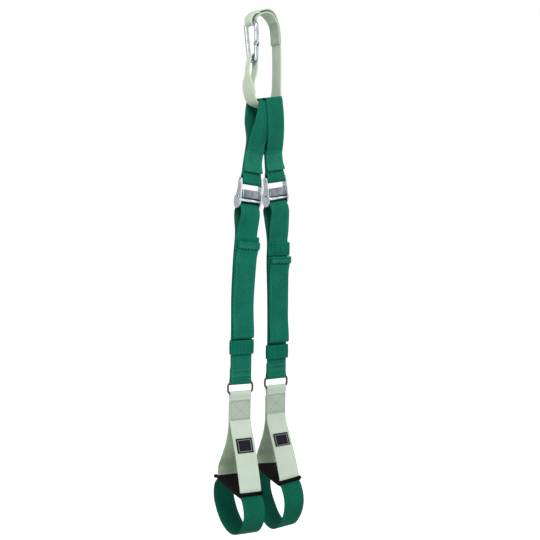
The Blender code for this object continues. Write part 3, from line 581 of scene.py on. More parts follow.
def rod(name, path, radius, sides=28):
    """A round bar drawn along a line in the y-z plane: each stretch is an extrusion that then turns."""
    runs = [Vector(b) - Vector(a) for a, b in zip(path, path[1:])]
    headings = []
    for run in runs:
        before = headings[-1] if headings else 0.0
        headings.append(before + math.remainder(math.atan2(run.y, run.x) - before, 2 * math.pi))
    faces = headings[:1] + [(a + b) / 2 for a, b in zip(headings, headings[1:])] + headings[-1:]
    bpy.ops.mesh.primitive_circle_add(vertices=sides, radius=radius, fill_type="NGON",
                                      location=(0, *path[0]), rotation=(faces[0] - math.pi / 2, 0, 0))
    bar = begin(name)
    edit(bar)
    for point, run, before, after in zip(path[1:], runs, faces, faces[1:]):
        bpy.ops.mesh.extrude_region_move(TRANSFORM_OT_translate={"value": (0, run.x, run.y)})
        bpy.ops.transform.rotate(value=before - after, orient_axis="X", center_override=(0, *point))
    close_up()
    return bar


def turned(name, profile, centre=(0.0, 0.0), sides=28):
    """A pin or rivet drawn along x through (radius, x) points, each one extruded from the last."""
    bpy.ops.mesh.primitive_circle_add(vertices=sides, radius=profile[0][0], fill_type="NGON",
                                      location=(profile[0][1], *centre), rotation=(0, math.pi / 2, 0))
    pin = begin(name)
    edit(pin)
    for (was, back), (radius, x) in zip(profile, profile[1:]):
        bpy.ops.mesh.extrude_region_move(TRANSFORM_OT_translate={"value": (x - back, 0, 0)})
        bpy.ops.transform.resize(value=(1, radius / was, radius / was), center_override=(x, *centre))
    close_up()
    return pin


def both_ends(profile):
    """One end's (radius, x) points, mirrored so that they describe the whole pin."""
    return [(r, -x) for r, x in profile] + [(r, x) for r, x in reversed(profile)]


def plate(name, outline, low, high):
    """A flat outline in the y-z plane given its thickness between two x values."""
    bpy.ops.mesh.primitive_circle_add(vertices=len(outline), radius=1.0, fill_type="NGON")
    sheet = begin(name)
    for vert, point in zip(sheet.data.vertices, outline):
        vert.co = (low, *point)
    edit(sheet)
    bpy.ops.mesh.extrude_region_move(TRANSFORM_OT_translate={"value": (high - low, 0, 0)})
    close_up()
    return sheet


def block(name, x, y, z):
    bpy.ops.mesh.primitive_cube_add(size=1.0, location=(sum(x) / 2, sum(y) / 2, sum(z) / 2),
                                    scale=(x[1] - x[0], y[1] - y[0], z[1] - z[0]))
    return begin(name)


def one_stitch():
    """A short bead of thread, used again and again along each seam."""
    bpy.ops.mesh.primitive_uv_sphere_add(segments=8, ring_count=5, radius=1.0,
                                         rotation=(0, math.pi / 2, 0))
    bead = begin("stitch")
    mesh = bead.data.copy()
    bpy.data.objects.remove(bead)
    return mesh


STITCH = one_stitch()
THREADS = {"green_webbing": "green_thread", "sage_webbing": "sage_thread"}
STITCH_PITCH, STITCH_LENGTH, STITCH_R, STITCH_FLAT = 3.6, 2.7, 0.42, 0.8


def stitching(name, seams, place, face_y, body, slot):
    """Stitches along seams given as (x, h) points on the face of the webbing at the depth face_y."""
    mesh = bmesh.new()
    out = math.copysign(1, face_y)
    half = 0.5 * STITCH_LENGTH / STITCH_PITCH
    for seam in seams:
        for (x0, h0), (x1, h1) in zip(seam, seam[1:]):
            count = max(1, round(math.hypot(x1 - x0, h1 - h0) / STITCH_PITCH))
            outward = (place(x0, (face_y + out, h0)) - place(x0, (face_y, h0))).normalized()
            for k in range(count):
                one, two = (place(x0 + (x1 - x0) * t, (face_y, h0 + (h1 - h0) * t))
                            for t in ((k + 0.5 - half) / count, (k + 0.5 + half) / count))
                middle = (one + two) / 2
                along = (two - one).normalized()
                side = outward.cross(along).normalized()
                top = along.cross(side)
                old = len(mesh.verts)
                mesh.from_mesh(STITCH)
                mesh.verts.ensure_lookup_table()
                for vert in mesh.verts[old:]:
                    p = vert.co
                    vert.co = (middle + along * (p.x * STITCH_LENGTH / 2) + side * (p.y * STITCH_R)
                               + top * (p.z * STITCH_R * STITCH_FLAT)) * MM
    data = bpy.data.meshes.new(name)
    mesh.to_mesh(data)
    mesh.free()
    data.shade_smooth()
    piece = bpy.data.objects.new(name, data)
    bpy.context.scene.collection.objects.link(piece)
    dress(piece, THREADS[slot], body, slot)


def box_and_cross(left, right, low, high, inset=2.6):
    """A sewn box with a cross in it."""
    l, r, b, t = left + inset, right - inset, low + inset, high - inset
    return [[(l, t), (r, t), (r, b), (l, b), (l, t)], [(l, t), (r, b)], [(r, t), (l, b)]]


def level_seams(edge, *heights):
    return [[(-edge, h), (edge, h)] for h in heights]


# anchor strap and snap hook
LOW_ROD_Z = TOP_ROD[1] - (HOOK_LENGTH - 2 * HOOK_ROD_R)
LOW_EYE, LOW_EYE_R = (LOW_ROD_X - 1.5, LOW_ROD_Z + 3.0), 6.8
WRAP = HOOK_ROD_R + GAP + WEB_T / 2 + 0.8
HOOK_LEAN = math.atan2(LOW_ROD_X - TOP_ROD[0], HOOK_LENGTH - 2 * HOOK_ROD_R)
HOOK_TWIST, LEG_TWIST = math.radians(5.0), math.radians(10.0)


def ring_place(v, point):
    """A point of the anchor strap: its right leg is turned a little away from the camera."""
    u, z = point
    share = come(u, 4, 14) * come(z + RING_DROP, 22, 20)
    twist = LEG_TWIST * share
    return U * (u + 1.2 * share - v * math.sin(twist)) + V * (v * math.cos(twist)) + UP * z


def hook_place(u, point):
    v, z = point
    c, s = math.cos(HOOK_LEAN), math.sin(HOOK_LEAN)
    cos_twist, sin_twist = math.cos(HOOK_TWIST), math.sin(HOOK_TWIST)
    u, v = u * cos_twist - v * sin_twist, v * cos_twist + u * sin_twist
    return U * (TOP_ROD[0] + u * c - z * s) + V * v + UP * (TOP_ROD[1] + u * s + z * c)


def near_rod(point):
    """How gathered the anchor strap is at a point, the sign of that rod's bend, and the half width."""
    for (cu, cz), bend, half, slack, reach in ((TOP_ROD, -1, 8.3, 0.0, 24.0),
                                               (LOW_EYE, 1, 4.8, 19.0, 22.0)):
        far = math.hypot(point[0] - cu, point[1] - cz)
        share = 1 - eased(come(far, WRAP + slack, reach))
        if share > 0:
            return share, bend, half + (1.8 if bend > 0 and point[0] > cu else 0.0)
    return 0.0, 1, 8.0


def anchor_width(point):
    share, _, half = near_rod(point)
    return ANCHOR_W + (2 * half - ANCHOR_W) * share


def anchor_cup(point, x):
    share, bend, half = near_rod(point)
    radius = 20.0 if bend < 0 else 12.0
    return bend * share * (radius - math.sqrt(radius**2 - min(abs(x), half + 1) ** 2))


def make_anchor():
    over, low = TOP_ROD[1] + 6, -RING_DROP
    eye_u, eye_z = LOW_EYE
    tail_side = smooth([
        (LEG_X - 2.3 - LAYER, -TAIL_DROP), (21.3, -30), (17.0, -13.9), (9.4, -4.4), (3, -0.2),
        (-4, WEB_T / 2), (-15, -0.9), (-24, -4.8), (TOP_ROD[0] + WRAP, over - 1)])
    outer_side = smooth([
        (TOP_ROD[0] - WRAP, over), (-34.5, -5.4), (-27, -0.8), (-16, 3.4), (-4, ARCH_RISE - 2.4),
        (4, ARCH_RISE - 3.6), (12.4, -1.2), (19.5, -13), (23.4, -27), (LEG_X - 2.1, -TAIL_DROP),
        (LEG_X - 0.4, -77), (LEG_X, -115), (LEG_X, low + 34), (LEG_X - 1.1, low + 21.5),
        (19.5, low + 11.5), (8, low + 6.5), (-12, low + 7.2), (-27.8, low + 12.6),
        (-35.4, low + 25), (-38.8, -120), (-40.2, -106), (-39.6, -92), (eye_u - LOW_EYE_R, eye_z)])
    line = route(
        tail_side, arc(*TOP_ROD, WRAP, 0, -180), outer_side, arc(eye_u, eye_z, LOW_EYE_R, 180, 0),
        [(-22.8, -88), (-25.2, -104), (-38.8 + LAYER + 1.0, -122), (-35.6 + LAYER, low + 25)])
    run = lengths(line)
    start = next(s for (u, z), s in zip(line, run) if s > 150 and u > 10 and z < -11.0)
    end = next(s for (u, z), s in zip(line, run) if s > start and z < -TAIL_DROP)
    webbing("anchor_webbing", line, ring_place, "anchor_webbing", "anchor", "sage_webbing", "anchor_strap",
            width=ANCHOR_W, columns=14, width_at=anchor_width, cup=anchor_cup,
            zones=[("sewn_sage", 0.0, TAIL_DROP - 11.0), ("sewn_sage", start, end)])

    def on_box(x, point):
        depth = min(tail_side, key=lambda spot: abs(spot[1] - point[1]))[0]
        return ring_place(x, (depth + point[0], point[1]))

    stitching("anchor_stitches", box_and_cross(-ANCHOR_W / 2, ANCHOR_W / 2, -TAIL_DROP, -13.0, 2.2),
              on_box, -WEB_T / 2, "anchor", "sage_webbing")


def make_hook():
    foot = Vector((HOOK_HALF - 1.7, -GATE_LENGTH - 16.0))
    head = Vector((HOOK_HALF, -16.0))
    rise = (head - foot).normalized()
    outward = Vector((rise.y, -rise.x))
    low = -(HOOK_LENGTH - 2 * HOOK_ROD_R)
    peak = 20 * (1 / math.cos(math.radians(24)) - 1)
    sole = low - 12 * (1 / math.cos(math.radians(25.8)) - 1)
    line = rounded(
        [tuple(head), (HOOK_HALF, peak - 6.0), (0, peak), (-HOOK_HALF, peak - 6.0),
         (-HOOK_LOW_HALF, sole + 4.5), (0, sole), (HOOK_LOW_HALF, sole + 4.5), tuple(foot)],
        [8.0, 20.0, 8.0, 7.0, 12.0, 7.0], step=7)

    def to_gate(piece):
        """Moves a piece made upright on the gate's pivot to where the gate is in the hook."""
        for vert in piece.data.vertices:
            p = foot + outward * vert.co.y + rise * vert.co.z
            vert.co = vert.co.x, p.x, p.y
        return piece

    nose_z = GATE_LENGTH - 2.4
    body = rod("snap_hook", line, HOOK_ROD_R)
    nose = block("tool", (-0.9, 0.9), (-2.6, 2.6), (GATE_LENGTH - 4.4, GATE_LENGTH + 1.5))
    cut(body, to_gate(plate("tool", arc(0, 0, HOOK_ROD_R, 0, 351, 9), -HOOK_ROD_R, HOOK_ROD_R)), "UNION")
    cut(body, to_gate(nose), "UNION")
    cut(body, to_gate(block("tool", (-1.5, 1.5), (-6, 6), (-4.2, 5.5))))
    notch = [(y, nose_z + z) for y, z in ((-6, -1.0), (0, -1.0), (0.7, -0.7), (1.0, 0.0), (0.7, 0.7),
                                          (0, 1.0), (-6, 1.0))]
    cut(body, to_gate(plate("tool", notch, -2, 2)))
    soften(body, 0.18)
    settle(body, hook_place, 35, "hook_zinc_painted_shade", "anchor", "bright_zinc", "carabiner_body")

    top, bottom = GATE_LENGTH - GAP, HOOK_ROD_R + 0.9
    bpy.ops.mesh.primitive_cylinder_add(vertices=32, radius=HOOK_ROD_R - 0.1, depth=top - bottom,
                                        location=(0, 0, (top + bottom) / 2))
    gate = begin("snap_gate")
    tongue = [(-2.6, bottom + 2), (-2.6, 0), *arc(0, 0, 2.6, 180, 360, 12)[1:-1], (2.6, 0),
              (2.6, bottom + 2)]
    cut(gate, plate("tool", tongue, -1.2, 1.2), "UNION")
    cut(gate, block("tool", (-1.2, 1.2), (-6, 6), (GATE_LENGTH - 5.2, GATE_LENGTH + 2)))
    soften(gate, 0.35, 3)
    settle(to_gate(gate), hook_place, 35, "hook_zinc_painted_shade", "gate", "bright_zinc", "carabiner_gate")

    dome = 0.35
    for name, node, radius, half, z, rides in (
            ("gate_rivet", "gate_pivot_pin", HOOK_PIN_R, HOOK_ROD_R + 0.2, 0.0, "anchor"),
            ("nose_rivet", "gate_nose_pin", 0.7, HOOK_ROD_R - 0.2, nose_z, "gate")):
        pin = turned(name, both_ends([(radius * 0.6, half + dome), (radius, half)]), (0.0, z), 20)
        soften(pin, 0.12, angle=25)
        settle(to_gate(pin), hook_place, 40, "hook_zinc_painted_shade", rides, "bright_zinc", node)


def hang_line(sign, top, leans, yaws):
    """How one side hangs: place(x, (y, h)), h below zero down from the loop's fold, and rigid places."""
    rigid = LOOP_DROP + EAR_LENGTH + EAR_FOOT_R + 4.0

    def ease(a, b, start, end, s):
        return a + (b - a) * eased(come(s, start, end - start))

    def axes(s):
        """Across, backward and upward directions at the distance s down the line."""
        box = BOX_TOP - 4.0, BOX_TOP + BOX_LENGTH + 2.0
        lean = ease(leans[0], leans[1], *box, s)
        lean = ease(lean, leans[2], rigid, rigid + 30, s)
        lean = ease(lean, leans[3], LOW_TURN, LOW_TURN + 40, s)
        facing = ease(ease(TOP_YAW, yaws[0], *box, s), yaws[1], rigid - 2.0, rigid + 42, s)
        c, d = math.cos(math.radians(facing)), math.sin(math.radians(facing))
        tilt = Matrix.Rotation(math.radians(sign * lean), 3, V)
        return tilt @ Vector((c, d, 0)), tilt @ Vector((-d, c, 0)), tilt @ UP

    points = [U * top[0] + UP * top[1]]
    for i in range(1000):
        points.append(points[-1] - axes(i + 0.5)[2])

    def at(s):
        if s < 0:
            return points[0] - axes(0)[2] * s
        i = min(int(s), len(points) - 2)
        return points[i].lerp(points[i + 1], s - i)

    def place(x, point):
        across, back, _ = axes(-point[1])
        return at(-point[1]) + across * x + back * point[0]

    def rigid_place(drop):
        origin, (across, back, up) = at(drop), axes(drop)
        return lambda x, point: origin + across * x + back * point[0] + up * point[1]

    return place, rigid_place


def make_loop(side, place):
    """The sewn upper loop, with its box of stitches on the front and the back."""
    bar_wrap = BAR_R + GAP + WEB_T / 2
    if side == "right":
        nest, lag, meet, part, rise = LAYER + 0.5, 6.4, BOX_TOP + 7.0, 9.0, 8.0
    else:
        nest, lag, meet, part, rise = 0.0, 0.0, BOX_TOP - 8.0, 5.0, 5.5
    top_half = ANCHOR_W / 2 + LOOP_CORNER_R - 0.4 + nest
    box_low = BOX_TOP + BOX_LENGTH
    outside, flare = HALF + LAYER, LOOP_DROP - 6.0
    path = route(
        [(-outside - 2.6, -box_low + 0.5), (-outside - 1.7, -box_low + 4), (-outside, -box_low + 9),
         (-outside, -meet)],
        [(-outside - 0.4 - nest, -meet + part), (-top_half + 1.4, -26 - lag), (-top_half, -9 - lag)],
        rounded([(-top_half, -9 - lag), (-top_half, rise), (top_half, rise), (top_half, -9 - lag)],
                [LOOP_CORNER_R] * 2),
        [(top_half - 1.4, -26 - lag), (HALF + 0.4 + nest, -meet + part), (HALF, -meet)],
        [(HALF, -box_low + 6)],
        [(HALF, -box_low + 2), (bar_wrap - 0.5, -flare + 1.5), (bar_wrap, -LOOP_DROP)],
        arc(0, -LOOP_DROP, bar_wrap, 0, -180),
        [(-bar_wrap + 0.5, -flare + 1.5), (-HALF, -box_low - 1), (-HALF, -box_low + 3)],
        [(-HALF, -BOX_TOP)])
    webbing(side + "_loop_webbing", path, place, "green_webbing", "anchor", "green_webbing",
            side + "_upper_loop", zones=[("sewn_green", 0.0, BOX_LENGTH - 1.0)])
    box = box_and_cross(-WEB_W / 2, WEB_W / 2, -box_low + 5.0, -BOX_TOP)
    for word, face_y in (("front", -outside - WEB_T / 2), ("back", HALF + WEB_T / 2)):
        stitching(side + "_loop_" + word + "_stitches", box, place, face_y, "anchor", "green_webbing")


def make_buckle(side, place):
    """Pressed frame, its bars and the cam lever."""
    body = side + "_buckle"
    outer = EAR_INSIDE + EAR_T
    ear = [*arc(0.2, 2.0, EAR_TOP_R - 1.0, 10, 170, 12), (-EAR_TOP_R + 0.2, -10.0),
           (-EAR_TOP_R - 0.2, -20.0), *rounded(
               [(-EAR_TOP_R - 0.3, -22.0), (-6.4, -31.0), (-4.2, -38.5), (-0.6, -44.2), (6.6, -45.0),
                (11.2, -41.0), (13.4, -33.0), (11.6, -25.0), (EAR_TOP_R + 1.2, -19.0),
                (EAR_TOP_R, -10.0)], [3.0, 4.0, 4.0, 3.0, 4.0, 5.0, 5.0, 5.0], 12)]
    pressed = plate(side + "_frame", ear, -outer, -EAR_INSIDE)
    far = plate("tool", ear, EAR_INSIDE, outer)
    base = block("tool", (-EAR_INSIDE - EAR_T / 2, EAR_INSIDE + EAR_T / 2),
                 (BASE_Y - BASE_T / 2, BASE_Y + BASE_T / 2), (-BASE_LOW, -BASE_TOP - BASE_T / 4))
    for sheet, width, segments in ((pressed, 0.55, 3), (far, 0.55, 3), (base, 0.6, 4)):
        soften(sheet, width, segments)
    cut(pressed, far, "UNION")
    cut(pressed, base, "UNION")
    settle(pressed, place, 35, "pressed_zinc", body, "bright_zinc", side + "_buckle_frame")

    inner, shoulder = EAR_INSIDE - GAP, EAR_INSIDE - GAP + EAR_T + 2 * GAP
    for name, node, radius, stem, centre in (
            ("_upper_bar", "_buckle_bar", BAR_R, STEM_R, (0.0, 0.0)),
            ("_roller", "_buckle_roller", ROLLER_R, STEM_R, ROLLER),
            ("_cam_rivet", "_cam_pivot", PIVOT_R, PIVOT_R, PIVOT)):
        end = [(HEAD_R * 0.35, shoulder + HEAD_T), (HEAD_R * 0.75, shoulder + HEAD_T * 0.8),
               (HEAD_R, shoulder + HEAD_T * 0.3), (HEAD_R, shoulder), (stem, shoulder), (stem, inner)]
        if radius > stem:
            end += [(radius - 0.3, inner), (radius, inner - 0.3)]
        settle(turned(side + name, both_ends(end), centre), place, 45, "bright_zinc", body,
               "bright_zinc", side + node)
    # a near-black disc on each head of the cam rivet: painted shade where its hollow is
    reach = shoulder + HEAD_T + 0.25
    eye = turned(side + "_rivet_eye", both_ends([(1.0, reach), (1.35, reach - 0.15)]), PIVOT)
    settle(eye, place, 45, "rivet_hole_painted_shade", body, "bright_zinc")

    (py, pz), hub = PIVOT, CAM_HUB_R
    tooth = BASE_Y - BASE_T / 2 - GAP - WEB_T - GAP - py
    top_y, low_y = -5.2, -5.9
    cam = [(top_y, -CAM_TOP), (top_y + CAM_PLATE_T, -CAM_TOP), (low_y + CAM_PLATE_T + 0.3, pz + 2.6),
           (py - 1.5, pz + hub)]
    cam += [polar(py, pz, r, a) for a, r in (
        (75, hub), (50, hub), (30, hub), (20, tooth), (14, hub + 0.1), (8, tooth), (2, hub + 0.1),
        (-4, tooth), (-18, hub), (-45, hub), (-70, hub), (-95, hub), (-120, hub), (-150, hub))]
    cam += [(low_y + CAM_PLATE_T, -CAM_LOW), (low_y, -CAM_LOW)]
    ends = (-EAR_INSIDE + 1.6, EAR_INSIDE - 3.0)
    lever = plate(side + "_lever", cam, *ends)
    soften(lever, 0.35, 3, 55)
    settle(lever, place, 35, "cam_grey", side + "_cam", "cam_grey", side + "_cam_lever")
    rim = [(top_y + 0.6, -CAM_TOP + 0.1), (top_y - 1.2, -CAM_TOP - 0.6),
           (low_y - 1.3, -CAM_LOW + 0.6), (low_y + 0.6, -CAM_LOW - 0.1)]
    for x, word in zip(ends, ("near", "far")):
        rib = plate(side + "_lever_rim_" + word, rim, x - 0.6, x + 0.6)
        soften(rib, 0.25)
        settle(rib, place, 35, "pressed_zinc", side + "_cam", "cam_grey")


def make_strap(side, place, bottom, strap_drop, fold_up, hem, keeper, below_fold):
    """The adjusting strap, from the ring up behind the buckle, through the cam and down in front.

    Heights are counted from the buckle's upper bar."""
    body = side + "_buckle"
    tail = strap_drop - fold_up
    low_keeper = tail + below_fold
    ring_z, fold_z, hem_z = -bottom, -tail + 4, -hem - HEM_LENGTH
    band_top, band_low = -keeper, -keeper - KEEPER_H
    load_y, tail_y, bow = 4.4, -1.2, STRAP_BOW[side]
    rear_y = BASE_Y + BASE_T / 2 + GAP + WEB_T / 2
    cam_y = BASE_Y - BASE_T / 2 - GAP - WEB_T / 2
    turn_z = -BASE_TOP - BASE_T / 2
    outside = -HALF - LAYER
    front = outside - (3.2 if hem < keeper + KEEPER_H + 5.0 else 1.6)
    fold = HALF + 0.25
    path = route(
        ((HALF, ring_z + SEWN_RETURN), (HALF, ring_z + 9)),
        [(WIRE_WRAP - 0.3, ring_z + 2.5), (WIRE_WRAP, ring_z)],
        arc(0, ring_z, WIRE_WRAP, 0, -180),
        [(-WIRE_WRAP + 0.3, ring_z + 2.5), (-HALF, ring_z + 9), (-HALF, ring_z + 12)],
        [(-HALF, ring_z + SEWN_RETURN)],
        [(-HALF, -low_keeper + 4), (-HALF, -low_keeper + 8), (0.4, -200), (load_y, band_low - 8),
         (load_y, band_low - 4), (load_y, band_top + 4), (load_y + 0.8, band_top + 8),
         (7.4 + bow, -67), (rear_y + 0.8 * bow, -52), (rear_y + 0.2, -BASE_LOW - 3), (rear_y, -30),
         (rear_y, turn_z)],
        arc(BASE_Y, turn_z, (rear_y - cam_y) / 2, 0, 180),
        [(cam_y, -24), (cam_y, -29.5), (cam_y - 2.6, -34.5), (-1.0, -39.5), (-5.6, -45.5), (-7.2, -53),
         (-5.8, -65), (tail_y - 0.8, band_top + 10), (tail_y, band_top + 6), (tail_y, band_top + 2),
         (tail_y, band_low - 2), (tail_y, band_low - 6), (-2.6, -180), (outside - 0.8, -low_keeper + 24),
         (outside - 1.4, fold_z + 6), (outside - 1.2, fold_z)],
        arc(outside - 4.2, fold_z, 3.0, 0, -180),
        [(outside - 7.0, fold_z + 8), (outside - 3.6, fold_z + 36), (outside - 3.2, -(hem + tail) / 2),
         (front, -hem - 30), (front - 0.8, hem_z - 2), (front - 0.9, hem_z), (front - 1.4, -hem - 1.6)],
        arc(front - 1.4 - fold, -hem - 1.6, fold, 0, 180)[1:],
        ((front - 0.9 - 2 * fold, hem_z),))
    total = lengths(path)[-1]

    def slip(s):
        """How far the folded tail lies to one side."""
        return 2.4 * eased(come(s, total - 40, 24))

    webbing(side + "_strap_webbing", path, place, "green_webbing", body, "green_webbing",
            side + "_adjusting_strap", slip=slip)

    edge = WEB_W / 2 - 3.0
    returned = level_seams(edge, ring_z + 11, ring_z + 14, ring_z + 21)
    for name, seams, face_y in (
            ("_return_stitches", returned, -HALF - WEB_T / 2),
            ("_return_back_stitches", returned, HALF + WEB_T / 2),
            ("_hem_stitches", level_seams(edge, -hem - 9.0, -hem - 6.2),
             front - 1.1 - 2 * fold - WEB_T / 2)):
        stitching(side + name, seams, place, face_y, body, "green_webbing")

    half_x, half_y = WEB_W / 2 + KEEPER_PLAY, WEB_T / 2
    make_keeper(side + "_upper_band", body, side + "_upper_keeper", place, keeper,
                half_x + KEEPER_LOOSE / 2, half_y + KEEPER_PLAY, (KEEPER_LOOSE / 2, tail_y))
    make_keeper(side + "_lower_band", body, side + "_lower_keeper", place, low_keeper, half_x + 0.6,
                half_y + 2.0, (0.4, -HALF - 0.9))


def make_keeper(name, body, node, place, drop, half_x, half_y, shift):
    """An elastic band round the straps, as a sleeve with a rounded rim."""
    radius = min(half_y * 0.9, 1.5)
    x, y = half_x - radius, half_y - radius
    outline = []
    for cx, cy, start in ((x, y, 0), (-x, y, 90), (-x, -y, 180), (x, -y, 270)):
        outline += arc(cx, cy, radius, start, start + 90, 15)
    around, count, levels = lengths(outline + outline[:1]), len(outline), 9
    bpy.ops.mesh.primitive_cylinder_add(vertices=count, radius=1.0, depth=1.0, end_fill_type="NOTHING")
    band = begin(name)
    edit(band)
    for k in range(1, levels):
        bpy.ops.mesh.select_all(action="SELECT")
        bpy.ops.mesh.bisect(plane_co=(0, 0, -0.5 + k / levels), plane_no=(0, 0, 1))
    bpy.ops.object.mode_set(mode="OBJECT")

    def laid(point):
        k = round(math.atan2(point.x, point.y) / (2 * math.pi) * count) % count
        h = -(KEEPER_H + 1.0) * (0.5 - point.z)
        grow = KEEPER_T / 2 + 0.05 + 0.45 * math.cos(math.pi * point.z)
        px, py = outline[k]
        outward = Vector((math.copysign(1, px) if abs(px) > x - 0.01 else 0,
                          math.copysign(1, py) if abs(py) > y - 0.01 else 0)).normalized()
        far = Vector((px, py)) + outward * grow
        return (place(far.x + shift[0], (far.y + shift[1], h - drop)), (h + KEEPER_H / 2, around[k]))

    sew(band, laid, KEEPER_T, 0.35, 2, False, "elastic", body, "elastic", node)


def make_ring(side, place):
    bend = RING_CORNER_R + 3.6
    bpy.ops.mesh.primitive_torus_add(major_segments=64, minor_segments=20, major_radius=bend,
                                     minor_radius=RING_WIRE_R, rotation=(math.pi / 2, 0, 0))
    ring = begin(side + "_wire_ring")
    reach_x, reach_z = WEB_W / 2 + GAP + RING_CORNER_R - bend, RING_HEIGHT / 2 - bend
    for vert in ring.data.vertices:
        right, high = vert.co.x > -1e-4, vert.co.z > -1e-4
        vert.co.x += reach_x if right else -reach_x
        vert.co.z += (reach_z if high else -reach_z) - RING_HEIGHT / 2
    settle(ring, place, 60, "ring_metal", side + "_ring_link", "ring_metal", side + "_ring")


def hanging(place, shifts):
    """The soft part below the grip box, moved (sideways, up) by a little more towards each corner."""
    front_left, front_right, back_left, back_right = (Vector(shift) for shift in shifts)

    def at(x, point):
        y, h = point
        across, back = 0.5 + x / WEB_W, come(0.5 + y / (PAD_LENGTH - 2 * LEG_FROM_END), 0, 1)
        moved = front_left.lerp(front_right, across).lerp(back_left.lerp(back_right, across), back)
        moved *= eased(come(-h, GRIP_BOX_LOW, PAD_DROP - GRIP_BOX_LOW))
        return place(x + moved.x, (y, h + moved.y))

    return at


def make_handle(side, firm_place):
    """Hand grip of webbing sewn below the ring, with its pad, foot loop and label."""
    body = side + "_handle"
    place = hanging(firm_place, HANDLE_SHIFTS[side])
    box_top, box_low = -GRIP_BOX_TOP, -GRIP_BOX_LOW
    run_z = -PAD_DROP - PAD_T - GAP - WEB_T / 2
    leg_drop = PAD_DROP - 4 - GRIP_BOX_LOW
    spread = PAD_LENGTH / 2 - LEG_FROM_END
    outside = HALF + LAYER
    front_leg = smooth([(-HALF, box_low)] + [
        (-spread * out, box_low - leg_drop * down)
        for out, down in zip(LEG_SPREAD[side], (0.146, 0.316, 0.561, 0.863, 1))])
    back_leg = smooth([(spread * out, box_low - leg_drop * down)
                       for out, down in ((1, 1), (0.975, 0.90), (0.70, 0.70), (0.29, 0.40))]
                      + [(outside + 1.2, box_low - leg_drop * 0.137), (outside, box_low)])
    path = route(
        [(HALF, box_low), (HALF, box_top - 4)],
        [(HALF, box_top), (WIRE_WRAP - 0.3, -2.5), (WIRE_WRAP, 0)],
        arc(0, 0, WIRE_WRAP, 0, 180),
        [(-WIRE_WRAP + 0.3, -2.5), (-HALF, box_top), (-HALF, box_top - 4)],
        [(-HALF, box_low)],
        front_leg,
        rounded([(-spread, -PAD_DROP + 4), (-spread, run_z), (spread, run_z), (spread, -PAD_DROP + 4)],
                [2.0, 2.0]),
        back_leg,
        [(outside, box_top - 3.0)])
    run = lengths(path)
    front = next(s for (y, h), s in zip(path, run) if y < -HALF + 0.1 and h < box_top)
    rear = next(s for (y, h), s in zip(path, run) if y > spread - 0.1 and h > -PAD_DROP)
    webbing(side + "_grip_webbing", path, place, "sage_webbing", body, "sage_webbing",
            side + "_handle_webbing", zones=[("sewn_grip", front, front + GRIP_BOX_LOW - GRIP_BOX_TOP),
                                             ("shaded_sage", rear, rear + leg_drop)])
    inset = 2.4
    seams = (box_and_cross(-WEB_W / 2, WEB_W / 2, box_low, box_top, inset)
             + level_seams(WEB_W / 2 - inset, box_top - 1, box_low + 0.9))
    for word, face_y in (("front", -HALF - WEB_T / 2), ("back", outside + WEB_T / 2)):
        stitching(side + "_grip_" + word + "_stitches", seams, place, face_y, body, "sage_webbing")

    tab_z, reach, deep = run_z - LAYER, FOOT_REACH, FOOT_DROP - 7.0
    stretch = 1 + FOOT_LONGER[side] / deep
    path = route(
        [(-spread + 16, tab_z), (-spread + 4, tab_z)],
        [(y, tab_z - low * stretch) for y, low in (
            (-spread - 4, 1.6), (-reach + 5, 10), (-reach, 25), (-reach + 6, 44), (-reach + 20, 60),
            (-28, deep - 4.5), (0, deep), (28, deep - 4.5), (reach - 15, 56), (reach, 36),
            (reach - 1, 18), (reach - 10, 5), (spread - 1, 0.5), (spread - 6, 0))],
        [(spread - 16, tab_z)])
    webbing(side + "_foot_webbing", path, place, "foot_webbing", body, "green_webbing",
            side + "_foot_loop")

    make_pad(side, place, body, spread)

    along = LABEL_FROM - GRIP_BOX_LOW + LABEL_LOWER[side]
    patch = []
    for p, n, s in zip(front_leg, normals(front_leg), lengths(front_leg)):
        if along <= s <= along + LABEL_H:
            lift = n * (WEB_T / 2 + GAP + LABEL_T / 2)
            patch.append(tuple(Vector(p) + (lift if lift.x < 0 else -lift)))
    webbing(side + "_label", patch, place, "label_black", body, "label_black", side + "_label_patch",
            width=LABEL_W, thickness=LABEL_T, edge=0.25)


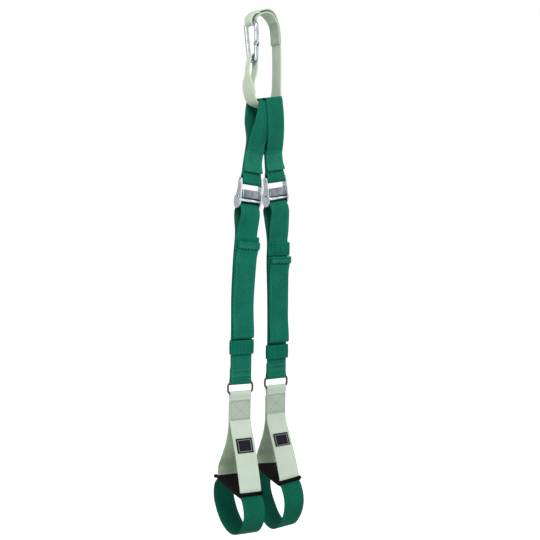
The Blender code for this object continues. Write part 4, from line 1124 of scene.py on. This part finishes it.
def make_pad(side, place, body, spread):
    """A thin foam saddle over the run of webbing: its long edges hang down, and its ends are rolled."""
    middle = -PAD_DROP - PAD_T / 2
    edge, half, flat, level = PAD_W / 2 - 1.2, spread + 2.6, WEB_W / 2 + 0.3, 0.8
    bpy.ops.mesh.primitive_grid_add(x_subdivisions=24, y_subdivisions=44, size=1.0)
    pad = begin(side + "_pad")
    for vert in pad.data.vertices:
        x, y = vert.co.x * 2, vert.co.y * 2 * half
        droop = PAD_SAG[side] * max(0.0, 1 - ((y / half + 1) / 2) ** 2.4) ** 0.8
        if abs(x) < level:
            across, fall = x / level * flat, 0.0
        else:
            t = (abs(x) - level) / (1 - level)
            across = math.copysign(flat + (edge - flat) * math.sin(t * math.pi / 2), x)
            fall = droop * (1 - math.cos(t * math.pi / 2)) if t < 1 else droop
        across *= 1 + PAD_FLARE * y / half
        swell = 0.9 * (1 - (y / half) ** 2) * (1 - (across / edge) ** 2)
        vert.co = (across, y, 0.5 + swell - fall + 0.15 * noise.noise((across / 10, y / 10, 2.0)))
    work(pad, "SOLIDIFY", thickness=PAD_SHEET_T, offset=0.0)
    soften(pad, 0.8, 3, 60)
    slot_x, slot_y = WEB_W / 2 + GAP, WEB_T / 2 + GAP
    for end in (-spread, spread):
        cut(pad, block("tool", (-slot_x, slot_x), (end - slot_y, end + slot_y), (-6, 6)))
    settle(pad, lambda x, p: place(x, (p[0], p[1] + middle)), 50, "grip_black", body, "grip_black",
           side + "_grip_pad")

    for end, word in ((-1, "front"), (1, "back")):
        reach = edge * (1 + PAD_FLARE * end) - PIPING_IN
        ball = [polar(0, reach, PIPING_R, a) for a in range(78, -43, -12)]
        piping = turned(side + "_piping_" + word, both_ends(ball), (end * (half + 0.3), middle - 0.5), 20)
        settle(piping, place, 60, "piping_black", body, "grip_black")


def make_side(side, sign, top, leans, yaws, strap_drop, **strap):
    place, rigid_place = hang_line(sign, top, leans, yaws)
    to_ring = strap_drop - WIRE_WRAP - WEB_T / 2
    ring_drop = LOOP_DROP + to_ring
    make_loop(side, place)
    make_buckle(side, rigid_place(LOOP_DROP))
    make_strap(side, lambda x, point: place(x, (point[0], point[1] - LOOP_DROP)), to_ring, strap_drop,
               **strap)
    make_ring(side, rigid_place(ring_drop))
    make_handle(side, rigid_place(ring_drop + RING_HEIGHT))


stand_camera()
studio()
make_anchor()
make_hook()
for side_name, facts in SIDES.items():
    make_side(side_name, **facts)

bpy.context.scene.view_settings.view_transform = "Standard"
